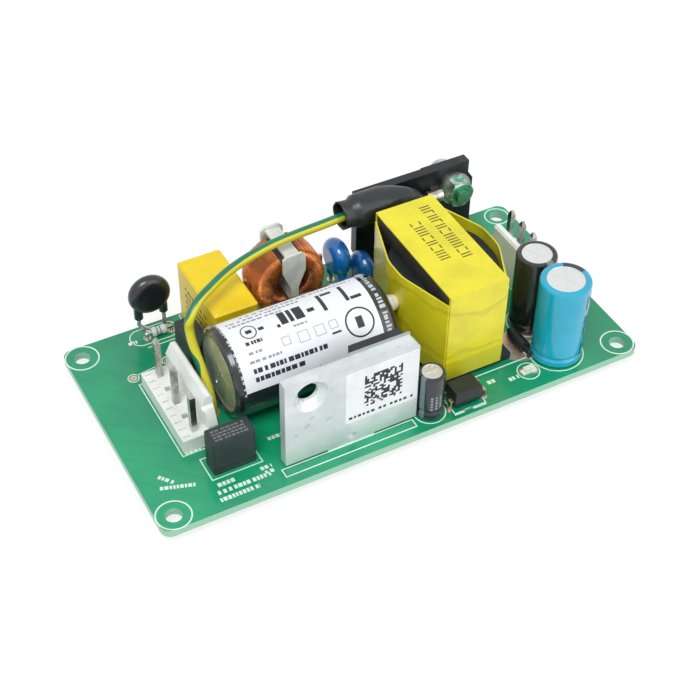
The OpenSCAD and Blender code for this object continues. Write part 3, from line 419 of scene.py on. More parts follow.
class Finish:
    """One material: tone drift, fine grain and scuffs around a Principled shader."""

    def __init__(self, name, colour, second, roughness=0.4, metallic=0.0, coat=0.0,
                 drift=60.0, amount=1.0, grain=3000.0, spread=0.12, relief=0.01,
                 scuffs=0.0, scuff_colour=None, scuff_scale=500.0):
        self.material = bpy.data.materials.new(name)
        self.material.use_nodes = True
        tree = self.material.node_tree
        tree.nodes.clear()
        self.web = Web(tree)
        web = self.web
        self.shader = web.add("ShaderNodeBsdfPrincipled")
        output = web.add("ShaderNodeOutputMaterial")
        tree.links.new(self.shader.outputs[0], output.inputs["Surface"])
        self.coords = web.add("ShaderNodeTexCoord").outputs["Object"]
        tone = placed_group(
            web, "Tone Drift",
            {"Vector": self.coords, "Scale": drift, "Colour": colour,
             "Second Colour": second, "Amount": amount},
        )
        grain = placed_group(
            web, "Fine Grain",
            {"Vector": self.coords, "Scale": grain, "Roughness": roughness, "Spread": spread},
        )
        self.colour, self.height = tone["Colour"], grain["Height"]
        self.rough = grain["Roughness"]
        if scuffs:
            marks = placed_group(
                web, "Scuffs", {"Vector": self.coords, "Scale": scuff_scale, "Share": scuffs}
            )["Mask"]
            self.colour = web.mix(marks, self.colour, scuff_colour or shade(colour, 0.6))
            self.rough = web.math("MULTIPLY_ADD", marks, 0.25, self.rough, clamp=True)
        self.shader.inputs["Metallic"].default_value = metallic
        self.shader.inputs["Coat Weight"].default_value = coat
        self.shader.inputs["Coat Roughness"].default_value = 0.08
        self.relief = relief

    def cover(self, mask, colour, rough=None, metallic=None):
        """Lays another colour, and its gloss, over the mask."""
        self.colour = self.web.mix(mask, self.colour, colour)
        if rough is not None:
            bare = self.web.math("SUBTRACT", 1.0, mask)
            kept = self.web.math("MULTIPLY", self.rough, bare)
            self.rough = self.web.math("ADD", kept, self.web.math("MULTIPLY", mask, rough))
        if metallic is not None:
            share = self.web.math("MULTIPLY", mask, metallic)
            self.web.feed(self.shader.inputs["Metallic"], share)

    def done(self):
        web = self.web
        web.feed(self.shader.inputs["Base Color"], self.colour)
        web.feed(self.shader.inputs["Roughness"], self.rough)
        bump = web.add("ShaderNodeBump", {"Strength": 1.0, "Distance": self.relief * MM})
        web.feed(bump.inputs["Height"], self.height)
        web.feed(self.shader.inputs["Normal"], bump.outputs[0])
        return self.material


def plain_finish(name, colour, second_factor=0.8, **values):
    """A material whose second tone is the first one, darker."""
    return Finish(name, colour, shade(colour, second_factor), **values).done()


def dress(material, *nodes):
    """Gives CAD nodes a material."""
    for node in nodes:
        mesh = NODES[node].data
        if not mesh.materials:
            mesh.materials.append(material)
        for index in range(len(mesh.materials)):
            mesh.materials[index] = material


# ---------------------------------------------------------------- mesh helpers


class Shape:
    """Collects vertices in millimetres and faces, then becomes one piece of the object."""

    def __init__(self):
        self.verts, self.faces = [], []

    def add(self, verts, faces):
        base = len(self.verts)
        self.verts.extend(Vector(v) for v in verts)
        self.faces.extend(tuple(base + i for i in face) for face in faces)

    def ribbon(self, points, width, place, height, closed=False):
        """A flat strip of the given width along points (u, v), set down by place(u, v, h)."""
        count = len(points)
        flat = [Vector(p).to_2d() for p in points]
        verts = []
        for i in range(count):
            back = flat[i] - flat[i - 1] if closed or i else flat[1] - flat[0]
            ahead = flat[(i + 1) % count] - flat[i] if closed or i < count - 1 else back
            n1 = Vector((-back.y, back.x)).normalized()
            n2 = Vector((-ahead.y, ahead.x)).normalized()
            mitre = (n1 + n2) / max(1 + n1.dot(n2), 0.3) * width / 2
            for side in (mitre, -mitre):
                for h in (-0.01, height):
                    verts.append(place(flat[i].x + side.x, flat[i].y + side.y, h))
        faces = []
        for i in range(count if closed else count - 1):
            a, b = 4 * i, 4 * ((i + 1) % count)
            faces += [
                (a + 1, b + 1, b + 3, a + 3), (a, a + 2, b + 2, b),
                (a, b, b + 1, a + 1), (a + 2, a + 3, b + 3, b + 2),
            ]
        if not closed:
            e = 4 * (count - 1)
            faces += [(0, 1, 3, 2), (e, e + 2, e + 3, e + 1)]
        self.add(verts, faces)

    def bar(self, u0, u1, v0, v1, place, height, step=0.4):
        """A filled bar, fine enough along v to bend round a can."""
        parts = max(1, math.ceil(abs(v1 - v0) / step))
        mid = (u0 + u1) / 2
        points = [(mid, v0 + (v1 - v0) * i / parts) for i in range(parts + 1)]
        self.ribbon(points, abs(u1 - u0), place, height)

    def ring(self, centre, radius, width, place, height, sides=56):
        points = [
            (centre[0] + radius * math.cos(a), centre[1] + radius * math.sin(a))
            for a in (math.tau * i / sides for i in range(sides))
        ]
        self.ribbon(points, width, place, height, closed=True)

    def outline(self, u0, u1, v0, v1, width, place, height, step=50.0):
        corners = [(u0, v0), (u1, v0), (u1, v1), (u0, v1)]
        points = []
        for i, corner in enumerate(corners):
            ahead = corners[(i + 1) % 4]
            parts = max(1, math.ceil(math.dist(corner, ahead) / step))
            points += [
                (corner[0] + (ahead[0] - corner[0]) * k / parts,
                 corner[1] + (ahead[1] - corner[1]) * k / parts)
                for k in range(parts)
            ]
        self.ribbon(points, width, place, height, closed=True)

    def words(self, u0, u1, v0, v1, place, height, dice, gap=0.28, longest=1.3):
        """A row of short plain bars, as a line of small print looks from a distance."""
        u = u0
        while u < u1:
            length = min(dice.uniform(0.4, longest), u1 - u)
            if length > 0.12:
                self.bar(u, u + length, v0, v1, place, height)
            u += length + gap * dice.choice((1, 1, 1, 2.4))

    def loft(self, rings):
        """A closed skin through rings of equal count, with a flat cap at each end."""
        sides = len(rings[0])
        verts = [v for ring in rings for v in ring]
        faces = []
        for i in range(len(rings) - 1):
            for j in range(sides):
                a, b = i * sides + j, i * sides + (j + 1) % sides
                faces.append((a, b, b + sides, a + sides))
        faces.append(tuple(reversed(range(sides))))
        faces.append(tuple(range((len(rings) - 1) * sides, len(rings) * sides)))
        self.add(verts, faces)

    def piece(self, name, material, slot, replaces=(), smooth=False):
        mesh = bpy.data.meshes.new(name)
        mesh.from_pydata([v * MM for v in self.verts], [], self.faces)
        mesh.materials.append(material)
        return finished_piece(name, mesh, replaces, smooth)


def finished_piece(name, mesh, replaces=(), smooth=False):
    """An object at the origin that rides with the part."""
    if not mesh.polygons:
        raise RuntimeError(f"{name} has no faces")
    work = bmesh.new()
    work.from_mesh(mesh)
    bmesh.ops.recalc_face_normals(work, faces=work.faces)
    work.to_mesh(mesh)
    work.free()
    mesh.name = name
    obj = bpy.data.objects.new(name, mesh)
    bpy.context.scene.collection.objects.link(obj)
    if smooth:
        mesh.shade_smooth()
    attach(obj, "root")
    if replaces:
        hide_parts(*replaces)
    return obj


def islands(node):
    """The corner points in millimetres of each separate solid in one CAD node."""
    mesh = NODES[node].data
    work = bmesh.new()
    work.from_mesh(mesh)
    bmesh.ops.remove_doubles(work, verts=work.verts, dist=1e-7)
    work.verts.ensure_lookup_table()
    seen, found = set(), []
    for start in work.verts:
        if start.index in seen:
            continue
        seen.add(start.index)
        stack, cluster = [start], []
        while stack:
            vert = stack.pop()
            cluster.append(vert.co.copy() / MM)
            for edge in vert.link_edges:
                other = edge.other_vert(vert)
                if other.index not in seen:
                    seen.add(other.index)
                    stack.append(other)
        found.append(cluster)
    work.free()
    return found


LEAD_NODES = [
    "input_header_pins", "output_header_pins", "fuse_leads", "thermistor_leads",
    "bleed_resistor_leads", "interference_capacitor_leads", "choke_leads",
    "safety_capacitor_leads", "bulk_capacitor_leads", "transistor_leads", "rectifier_leads",
    "transformer_pins", "capacitor_leads", "optocoupler_leads", "snubber_diode", "earth_wire",
]


def lead_places():
    """(x, y, radius) in millimetres of every lead where it passes through the board."""
    places = []
    for node in LEAD_NODES:
        for cluster in islands(node):
            low = min(v.z for v in cluster)
            if low > BOARD_UNDERSIDE - 1:
                continue
            foot = [v for v in cluster if v.z < low + 0.05]
            x = (min(v.x for v in foot) + max(v.x for v in foot)) / 2
            y = (min(v.y for v in foot) + max(v.y for v in foot)) / 2
            places.append((x, y, max(math.hypot(v.x - x, v.y - y) for v in foot)))
    return places


def flat_on_board(u, v, h):
    return Vector((u, v, BOARD_TOP + h))


def grow(tree, name, inputs, points=((0, 0, 0),)):
    """Runs a geometry tree on a few points, with its inputs set by name, and keeps the mesh."""
    seed_mesh = bpy.data.meshes.new(name + "_seed")
    seed_mesh.from_pydata([Vector(p[:3]) * MM for p in points], [], [])
    if len(points[0]) > 3:
        sizes = seed_mesh.attributes.new("size", "FLOAT", "POINT")
        sizes.data.foreach_set("value", [p[3] * MM for p in points])
    obj = bpy.data.objects.new(name + "_seed", seed_mesh)
    bpy.context.scene.collection.objects.link(obj)
    modifier = obj.modifiers.new("Build", "NODES")
    modifier.node_group = tree
    for item in tree.interface.items_tree:
        if item.item_type == "SOCKET" and item.in_out == "INPUT" and item.name in inputs:
            modifier[item.identifier] = inputs[item.name]
    graph = bpy.context.evaluated_depsgraph_get()
    mesh = bpy.data.meshes.new_from_object(obj.evaluated_get(graph))
    obj.modifiers.remove(modifier)
    bpy.data.objects.remove(obj)
    bpy.data.meshes.remove(seed_mesh)
    return mesh


# ---------------------------------------------------------------- geometry trees

GEOMETRY = "NodeSocketGeometry"
INTEGER = "NodeSocketInt"
MATERIAL = "NodeSocketMaterial"


def winding_tree():
    """Wire wound round one half of a ring core: rounded square turns along an arc."""
    tree, web, given, out = new_group(
        "GeometryNodeTree",
        "Choke Winding",
        [
            ("Geometry", GEOMETRY, None),
            ("Turns", INTEGER, 40),
            ("Wire Radius", FLOAT, 0.0002),
            ("Bore Radius", FLOAT, 0.003),
            ("Rim Radius", FLOAT, 0.0075),
            ("Half Length", FLOAT, 0.004),
            ("Layer Step", FLOAT, 0.0003),
            ("Start Angle", FLOAT, 0.0),
            ("Arc", FLOAT, 2.5),
            ("Centre", VECTOR, (0, 0, 0)),
            ("Looseness", FLOAT, 0.00008),
            ("Seed", INTEGER, 3),
            ("Material", MATERIAL, None),
        ],
        [("Geometry", GEOMETRY)],
    )
    count = web.math("ADD", web.math("MULTIPLY", given["Turns"], SAMPLES_PER_TURN), 1)
    line = web.add("GeometryNodeMeshLine", {"Count": count})
    index = web.add("GeometryNodeInputIndex").outputs[0]
    turn = web.math("DIVIDE", index, SAMPLES_PER_TURN)
    phase = web.math("MULTIPLY", turn, math.tau)
    share = web.math("DIVIDE", turn, given["Turns"])
    angle = web.math("MULTIPLY_ADD", share, given["Arc"], given["Start Angle"])
    cosine, sine = web.math("COSINE", phase), web.math("SINE", phase)
    powers = (web.math("POWER", web.math("ABSOLUTE", way), TURN_SQUARENESS)
              for way in (cosine, sine))
    square = web.math("POWER", web.math("ADD", *powers), -1 / TURN_SQUARENESS)
    half_width = web.math(
        "MULTIPLY", web.math("SUBTRACT", given["Rim Radius"], given["Bore Radius"]), 0.5
    )
    middle = web.math(
        "MULTIPLY", web.math("ADD", given["Rim Radius"], given["Bore Radius"]), 0.5
    )
    whole = web.math("FLOOR", web.math("ADD", turn, 0.25))
    dice = web.add("FunctionNodeRandomValue", data_type="FLOAT")
    web.feed(dice.inputs[2], -1.0)
    web.feed(dice.inputs[3], 1.0)
    web.feed(dice.inputs["ID"], whole)
    web.feed(dice.inputs["Seed"], given["Seed"])
    loose = web.math("MULTIPLY", dice.outputs[1], given["Looseness"])
    inside = web.math("MULTIPLY", cosine, -2.0, clamp=True)
    odd = web.math("MODULO", whole, 2.0)
    lift = web.math("MULTIPLY", web.math("MULTIPLY", inside, odd), given["Layer Step"])
    radial = web.math("MULTIPLY_ADD", web.math("MULTIPLY", cosine, square), half_width, middle)
    radial = web.math("ADD", web.math("ADD", radial, lift), loose)
    axial = web.math("MULTIPLY", web.math("MULTIPLY", sine, square), given["Half Length"])
    place = web.add("ShaderNodeCombineXYZ")
    web.feed(place.inputs[0], web.math("MULTIPLY", radial, web.math("COSINE", angle)))
    web.feed(place.inputs[1], axial)
    web.feed(place.inputs[2], web.math("MULTIPLY", radial, web.math("SINE", angle)))
    moved = web.add("ShaderNodeVectorMath", operation="ADD")
    web.feed(moved.inputs[0], place.outputs[0])
    web.feed(moved.inputs[1], given["Centre"])
    set_place = web.add("GeometryNodeSetPosition")
    web.feed(set_place.inputs["Geometry"], line.outputs[0])
    web.feed(set_place.inputs["Position"], moved.outputs[0])
    curve = web.add("GeometryNodeMeshToCurve")
    web.feed(curve.inputs[0], set_place.outputs[0])
    profile = web.add("GeometryNodeCurvePrimitiveCircle", {"Resolution": 6})
    web.feed(profile.inputs["Radius"], given["Wire Radius"])
    tube = web.add("GeometryNodeCurveToMesh", {"Fill Caps": True})
    web.feed(tube.inputs["Curve"], curve.outputs[0])
    web.feed(tube.inputs["Profile Curve"], profile.outputs[0])
    finish_tree(web, tube.outputs[0], given, out)
    return tree


def finish_tree(web, geometry, given, out):
    """Ends a tree in Realize Instances and Set Material."""
    real = web.add("GeometryNodeRealizeInstances")
    web.feed(real.inputs[0], geometry)
    coat = web.add("GeometryNodeSetMaterial")
    web.feed(coat.inputs["Geometry"], real.outputs[0])
    web.feed(coat.inputs["Material"], given["Material"])
    web.feed(out["Geometry"], coat.outputs[0])


def pads_tree():
    """A flat tinned ring round each point, sized by the point's own value."""
    tree, web, given, out = new_group(
        "GeometryNodeTree",
        "Board Pads",
        [
            ("Geometry", GEOMETRY, None),
            ("Land", FLOAT, 0.0005),
            ("Thickness", FLOAT, 0.00002),
            ("Material", MATERIAL, None),
        ],
        [("Geometry", GEOMETRY)],
    )
    size = web.add("GeometryNodeInputNamedAttribute", data_type="FLOAT")
    size.inputs["Name"].default_value = "size"
    disc = web.add(
        "GeometryNodeMeshCylinder", {"Vertices": 32, "Radius": 1.0, "Depth": 1.0}
    )
    radius = web.math("ADD", size.outputs[0], given["Land"])
    scale = web.add("ShaderNodeCombineXYZ")
    web.feed(scale.inputs[0], radius)
    web.feed(scale.inputs[1], radius)
    web.feed(scale.inputs[2], given["Thickness"])
    place = web.add("GeometryNodeInstanceOnPoints")
    web.feed(place.inputs["Points"], given["Geometry"])
    web.feed(place.inputs["Instance"], disc.outputs["Mesh"])
    web.feed(place.inputs["Scale"], scale.outputs[0])
    finish_tree(web, place.outputs[0], given, out)
    return tree


def modules_tree():
    """A square field of small square modules, some left out by a fixed seed."""
    tree, web, given, out = new_group(
        "GeometryNodeTree",
        "Sticker Modules",
        [
            ("Geometry", GEOMETRY, None),
            ("Side", FLOAT, 0.008),
            ("Count", INTEGER, 16),
            ("Thickness", FLOAT, 0.00003),
            ("Share", FLOAT, 0.5),
            ("Seed", INTEGER, 1),
            ("Centre", VECTOR, (0, 0, 0)),
            ("Material", MATERIAL, None),
        ],
        [("Geometry", GEOMETRY)],
    )
    pitch = web.math("DIVIDE", given["Side"], given["Count"])
    span = web.math("SUBTRACT", given["Side"], pitch)
    grid = web.add("GeometryNodeMeshGrid")
    for key, value in (("Size X", span), ("Size Y", span)):
        web.feed(grid.inputs[key], value)
    for key in ("Vertices X", "Vertices Y"):
        web.feed(grid.inputs[key], given["Count"])
    pick = web.add("FunctionNodeRandomValue", data_type="BOOLEAN")
    web.feed(pick.inputs["Probability"], given["Share"])
    web.feed(pick.inputs["Seed"], given["Seed"])
    size = web.add("ShaderNodeCombineXYZ")
    web.feed(size.inputs[0], pitch)
    web.feed(size.inputs[1], pitch)
    web.feed(size.inputs[2], given["Thickness"])
    cube = web.add("GeometryNodeMeshCube")
    web.feed(cube.inputs["Size"], size.outputs[0])
    place = web.add("GeometryNodeInstanceOnPoints")
    web.feed(place.inputs["Points"], grid.outputs["Mesh"])
    web.feed(place.inputs["Instance"], cube.outputs["Mesh"])
    web.feed(place.inputs["Selection"], pick.outputs[3])
    turn = web.add("GeometryNodeTransform")
    web.feed(turn.inputs["Geometry"], place.outputs[0])
    web.feed(turn.inputs["Translation"], given["Centre"])
    turn.inputs["Rotation"].default_value = (math.pi / 2, 0, 0)
    finish_tree(web, turn.outputs[0], given, out)
    return tree


# ---------------------------------------------------------------- stage


class StageOperator(bpy.types.Operator):
    """Lay the pale floor, the plain light and the camera"""

    bl_idname = "psu.stage"
    bl_label = "Stage, Light and Camera"

    def execute(self, context):
        looks = context.scene.psu_stage
        scene = context.scene
        scene.view_settings.view_transform = "Standard"
        world = bpy.data.worlds.new("pale_room")
        scene.world = world
        world.use_nodes = True
        web = Web(world.node_tree)
        world.node_tree.nodes.clear()
        seen = self.seen_directly(web)
        plain = web.add("ShaderNodeBackground", {"Color": (1, 1, 1, 1), "Strength": 1.0})
        fill = web.add("ShaderNodeBackground", {"Color": (1, 1, 1, 1), "Strength": looks.fill})
        either = web.add("ShaderNodeMixShader")
        web.feed(either.inputs[0], seen)
        web.feed(either.inputs[1], fill.outputs[0])
        web.feed(either.inputs[2], plain.outputs[0])
        end = web.add("ShaderNodeOutputWorld")
        web.feed(end.inputs[0], either.outputs[0])

        floor_z = CAD_BOX[0].z - looks.drop
        mesh = bpy.data.meshes.new("floor")
        corners = ((-1, -1), (1, -1), (1, 1), (-1, 1))
        mesh.from_pydata(
            [(x * FLOOR_REACH, y * FLOOR_REACH, floor_z) for x, y in corners], [],
            [(0, 1, 2, 3)],
        )
        mesh.materials.append(self.floor_material())
        floor = bpy.data.objects.new("floor", mesh)
        scene.collection.objects.link(floor)

        self.lamp("key_lamp", looks.key, (-0.30, -0.34, 0.86), angle=0.5)
        self.lamp("side_lamp", looks.key * SIDE_SHARE, (0.45, -0.75, 0.5), angle=0.9)

        camera = bpy.data.cameras.new("camera")
        camera.lens, camera.sensor_width = looks.lens, 36.0
        camera.clip_start, camera.clip_end = 0.01, 20.0
        viewer = bpy.data.objects.new("camera", camera)
        scene.collection.objects.link(viewer)
        axes = (Vector(CAMERA_RIGHT), Vector(CAMERA_UP), -Vector(CAMERA_AHEAD))
        turn = Matrix(axes).transposed().to_4x4()
        viewer.matrix_world = Matrix.Translation(CAMERA_PLACE) @ turn
        scene.camera = viewer
        return {"FINISHED"}

    def seen_directly(self, web):
        """1 for rays that show the background itself, in the view, in gloss and through glass."""
        path = web.add("ShaderNodeLightPath").outputs
        both = web.math("MAXIMUM", path["Is Camera Ray"], path["Is Glossy Ray"])
        return web.math("MAXIMUM", both, path["Is Transmission Ray"])

    def floor_material(self):
        material = bpy.data.materials.new("pale_floor")
        material.use_nodes = True
        tree = material.node_tree
        tree.nodes.clear()
        web = Web(tree)
        seen = self.seen_directly(web)
        bounce = web.add("ShaderNodeBsdfDiffuse", {"Color": (0.82, 0.82, 0.82, 1)})
        veil = web.add("ShaderNodeBsdfDiffuse", {"Color": (0.22, 0.22, 0.22, 1)})
        glow = web.add("ShaderNodeEmission", {"Color": (1, 1, 1, 1), "Strength": 0.80})
        both = web.add("ShaderNodeAddShader")
        web.feed(both.inputs[0], veil.outputs[0])
        web.feed(both.inputs[1], glow.outputs[0])
        either = web.add("ShaderNodeMixShader")
        web.feed(either.inputs[0], seen)
        web.feed(either.inputs[1], bounce.outputs[0])
        web.feed(either.inputs[2], both.outputs[0])
        end = web.add("ShaderNodeOutputMaterial")
        web.feed(end.inputs["Surface"], either.outputs[0])
        return material

    def lamp(self, name, strength, direction, angle):
        """A soft sun that shines from the given direction."""
        data = bpy.data.lights.new(name, "SUN")
        data.energy = strength
        data.angle = angle
        lamp = bpy.data.objects.new(name, data)
        bpy.context.scene.collection.objects.link(lamp)
        lamp.rotation_mode = "QUATERNION"
        lamp.rotation_quaternion = Vector(direction).to_track_quat("Z", "Y")


# ---------------------------------------------------------------- board


class BoardOperator(bpy.types.Operator):
    """Finish the board, its pads and the solder under it"""

    bl_idname = "psu.board"
    bl_label = "Board, Pads and Solder"

    def execute(self, context):
        looks = context.scene.psu_board
        dress(self.mask_material(looks), "circuit_board")
        solder = Finish(
            "bright_solder", srgb(205, 208, 210), srgb(160, 164, 168), roughness=0.22,
            metallic=1.0, drift=700, grain=5000, relief=0.006,
        ).done()
        dress(solder, "solder_joints")
        pad = Finish(
            "tinned_pad", tuple(looks.pad), srgb(206, 210, 208), roughness=0.3, metallic=0.7,
            drift=900, grain=5000, relief=0.004,
        ).done()
        tree = pads_tree()
        places = [(x, y, BOARD_TOP, r) for x, y, r in lead_places()]
        mesh = grow(
            tree, "board_pads",
            {"Land": 0.42 * MM, "Thickness": 0.03 * MM, "Material": pad}, places,
        )
        finished_piece("board_pads", mesh)
        return {"FINISHED"}

    def mask_material(self, looks):
        finish = Finish(
            "solder_mask", tuple(looks.mask), tuple(looks.mask_deep), roughness=0.3,
            coat=0.35, drift=28, amount=0.75, grain=1500, spread=0.08, relief=0.004,
        )
        web = finish.web
        # Copper areas under the mask: broad cells, a little lighter than bare laminate
        areas = web.add(
            "ShaderNodeTexVoronoi",
            {"Scale": 95.0, "Randomness": 0.85},
            voronoi_dimensions="2D", distance="CHEBYCHEV",
        )
        web.feed(areas.inputs["Vector"], finish.coords)
        tint = web.split(areas.outputs["Color"])[0]
        finish.cover(
            web.math("MULTIPLY", web.step(tint, 0.45, 0.55), 0.16), tuple(looks.mask_deep)
        )
        tracks = web.add(
            "ShaderNodeTexWave",
            {"Scale": 110.0, "Distortion": 6.0, "Detail": 0.0, "Detail Scale": 0.4},
            wave_type="BANDS", bands_direction="DIAGONAL",
        )
        web.feed(tracks.inputs["Vector"], finish.coords)
        edges = web.math("MULTIPLY", web.step(tracks.outputs["Fac"], 0.9, 0.97), 0.12)
        finish.cover(edges, shade(tuple(looks.mask_deep), 0.7))
        normal = web.add("ShaderNodeNewGeometry").outputs["Normal"]
        side = web.below(web.math("ABSOLUTE", web.split(normal)[2]), 0.3, 0.6)
        finish.cover(side, tuple(looks.edge), rough=0.6)
        return finish.done()


class BoardPrintOperator(bpy.types.Operator):
    """Print the outlines, rings and plain marks on the board"""

    bl_idname = "psu.board_print"
    bl_label = "Board Print"

    def execute(self, context):
        looks = context.scene.psu_board
        w = looks.line / MM
        h = looks.ink_height / MM
        dice = random.Random(12)
        shape = Shape()
        ink = Finish(
            "board_ink", tuple(looks.ink), shade(tuple(looks.ink), 0.88), roughness=0.6,
            drift=400, grain=4000, relief=0.004,
        ).done()
        low, high = box_mm("circuit_board")
        for x in (low.x + HOLE_INSET, high.x - HOLE_INSET):
            for y in (low.y + HOLE_INSET, high.y - HOLE_INSET):
                shape.ring((x, y), 3.25 if x < 0 or y < 0 else 2.6, w * 1.3, flat_on_board, h)

        def around(node, grow_x, grow_y=None):
            a, b = box_mm(node)
            gy = grow_x if grow_y is None else grow_y
            shape.outline(a.x - grow_x, b.x + grow_x, a.y - gy, b.y + gy, w, flat_on_board, h)

        around("line_fuse", 0.75)
        around("neutral_fuse", 0.6)
        around("input_header", 0.45)
        around("interference_capacitor", 0.3, 0.3)
        around("output_header", 0.4)
        around("optocoupler", 0.2, 0.45)
        plate_low, plate_high = box_mm("front_heatsink")
        shape.outline(
            plate_low.x - 0.9, plate_high.x - 0.9, plate_low.y - 2.0, plate_low.y - 0.1,
            w, flat_on_board, h,
        )
        for node, extra in (
            ("large_output_capacitor", 0.45), ("slim_output_capacitor", 0.4),
            ("control_capacitor", 0.5),
        ):
            a, b = box_mm(node)
            centre = (a + b) / 2
            shape.ring(centre, (b.x - a.x) / 2 + extra, w, flat_on_board, h)
        light = mid_mm("indicator_light")
        shape.ring(light, 2.2, w, flat_on_board, h)
        tape = box_mm("transformer_tape")
        corner = (tape[1].x + 1.2, tape[0].y - 0.5)
        shape.ribbon(
            [(tape[0].x + 10.5, corner[1]), corner, (corner[0], corner[1] + 2.4)], w * 1.2,
            flat_on_board, h,
        )
        disc = mid_mm("thermistor")
        self.capsule(shape, (disc.x - 3.6, disc.x + 3.2), disc.y - 3.3, disc.y + 1.2, w, h)
        shape.ribbon([(disc.x - 2.8, disc.y - 4.3), (disc.x + 4.0, disc.y - 4.3)], w,
                     flat_on_board, h)
        spare = ((-40.9, 12.5), (-33.2, 14.1))
        shape.ribbon([(-40.1, 12.9), (-33.9, 13.8)], w, flat_on_board, h)
        for x, y in spare:
            shape.ring((x, y), 1.05, w, flat_on_board, h, 32)
        pads = Shape()
        for x, y in spare + ((light.x - 1.1, light.y + 0.5), (light.x + 1.2, light.y - 0.6)):
            pads.ring((x, y), 0.42, 0.6, flat_on_board, h * 0.8, 24)
        pads.piece("spare_pads", bpy.data.materials["tinned_pad"], "solder")
        # Zig-zag isolation mark in front of the optocoupler
        a, b = box_mm("optocoupler")
        zig = [(a.x - 0.4, a.y - 0.7), (a.x + 1.6, a.y - 0.7), (a.x + 2.0, a.y - 0.35),
               (a.x + 3.4, a.y - 0.35), (a.x + 3.9, a.y - 0.8), (b.x + 0.1, a.y - 0.8)]
        shape.ribbon(zig, w * 1.4, flat_on_board, h)
        # Places of part marks: plain rows of bars
        rows = [
            ((-46.6, -12.8), (-44.3, -15.6), 0.8), ((-47.4, -15.5), (-40.9, -17.6), 0.8),
            ((-37.9, -19.6), (-34.3, -19.6), 0.9), ((-38.6, -21.3), (-28.0, -21.3), 0.9),
            ((-38.9, -23.0), (-31.2, -23.0), 0.9), ((-39.9, -9.9), (-36.9, -9.9), 0.7),
            ((-25.0, -13.6), (-21.6, -13.6), 0.8), ((-29.4, -19.6), (-27.2, -19.6), 0.8),
            ((-29.0, -20.8), (-27.2, -20.8), 0.8), ((23.0, -21.2), (25.1, -21.2), 0.9),
            ((-38.2, 21.6), (-36.4, 21.6), 0.8), ((-39.4, 10.6), (-37.4, 11.0), 0.8),
            ((18.8, -20.0), (20.4, -20.0), 0.9), ((31.2, -22.6), (31.5, -22.6), 0.4),
        ]
        for start, end, tall in rows:
            self.row(shape, Vector(start), Vector(end), tall, h, dice)
        shape.piece("board_print", ink, "board_green")
        return {"FINISHED"}

    def capsule(self, shape, ends, y0, y1, w, h):
        radius = (y1 - y0) / 2
        mid = (y0 + y1) / 2
        points = []
        for centre, start in ((ends[1] - radius * 0.3, -90), (ends[0] + radius * 0.3, 90)):
            for k in range(13):
                a = math.radians(start + 15 * k)
                points.append((centre + radius * math.cos(a), mid + radius * math.sin(a)))
        shape.ribbon(points, w, flat_on_board, h, closed=True)

    def row(self, shape, start, end, tall, height, dice):
        along = (end - start).normalized()
        across = Vector((-along.y, along.x))

        def place(u, v, h):
            spot = start + along * u + across * v
            return flat_on_board(spot.x, spot.y, h)

        shape.words(0, (end - start).length, -tall / 2, tall / 2, place, height, dice,
                    gap=0.2, longest=0.75)


# ---------------------------------------------------------------- connectors, fuses, mains filter


class HeadersOperator(bpy.types.Operator):
    """Finish both headers and every tinned lead"""

    bl_idname = "psu.headers"
    bl_label = "Headers and Leads"

    def execute(self, context):
        nylon = Finish(
            "header_nylon", tuple(context.scene.psu_parts.nylon), srgb(222, 228, 222),
            roughness=0.42, drift=150, amount=0.8, grain=2500, relief=0.01,
            scuffs=0.15, scuff_colour=srgb(196, 196, 184),
        ).done()
        dress(nylon, "input_header", "output_header")
        tin = Finish(
            "tinned_wire", srgb(206, 206, 200), srgb(160, 158, 150), roughness=0.28,
            metallic=1.0, drift=500, grain=4000, relief=0.006, scuffs=0.4,
            scuff_colour=srgb(110, 104, 96), scuff_scale=900,
        ).done()
        dress(tin, *(n for n in NODES if SLOT_OF.get(n) == "tinned_wire"))
        return {"FINISHED"}


class FusesOperator(bpy.types.Operator):
    """Finish the fuses, with plain bars on their faces"""

    bl_idname = "psu.fuses"
    bl_label = "Fuses"

    def execute(self, context):
        black = Finish(
            "fuse_moulding", srgb(44, 54, 57), srgb(34, 42, 45), roughness=0.5, drift=200,
            grain=4200, relief=0.018, scuffs=0.12, scuff_colour=srgb(90, 98, 100),
        ).done()
        dress(black, "line_fuse", "neutral_fuse")
        ink = plain_finish("fuse_ink", srgb(120, 124, 126), roughness=0.6, drift=900)
        dice = random.Random(4)
        shape = Shape()
        low, high = box_mm("line_fuse")

        def on_top(u, v, h):
            return Vector((low.x + u, low.y + v, high.z + h))

        for v in (0.7, 1.45, 2.2, 2.95):
            shape.words(0.9, high.x - low.x - 0.9, v, v + 0.4, on_top, 0.012, dice, 0.2, 0.9)
        shape.piece("line_fuse_marks", ink, "fuse_black")
        return {"FINISHED"}


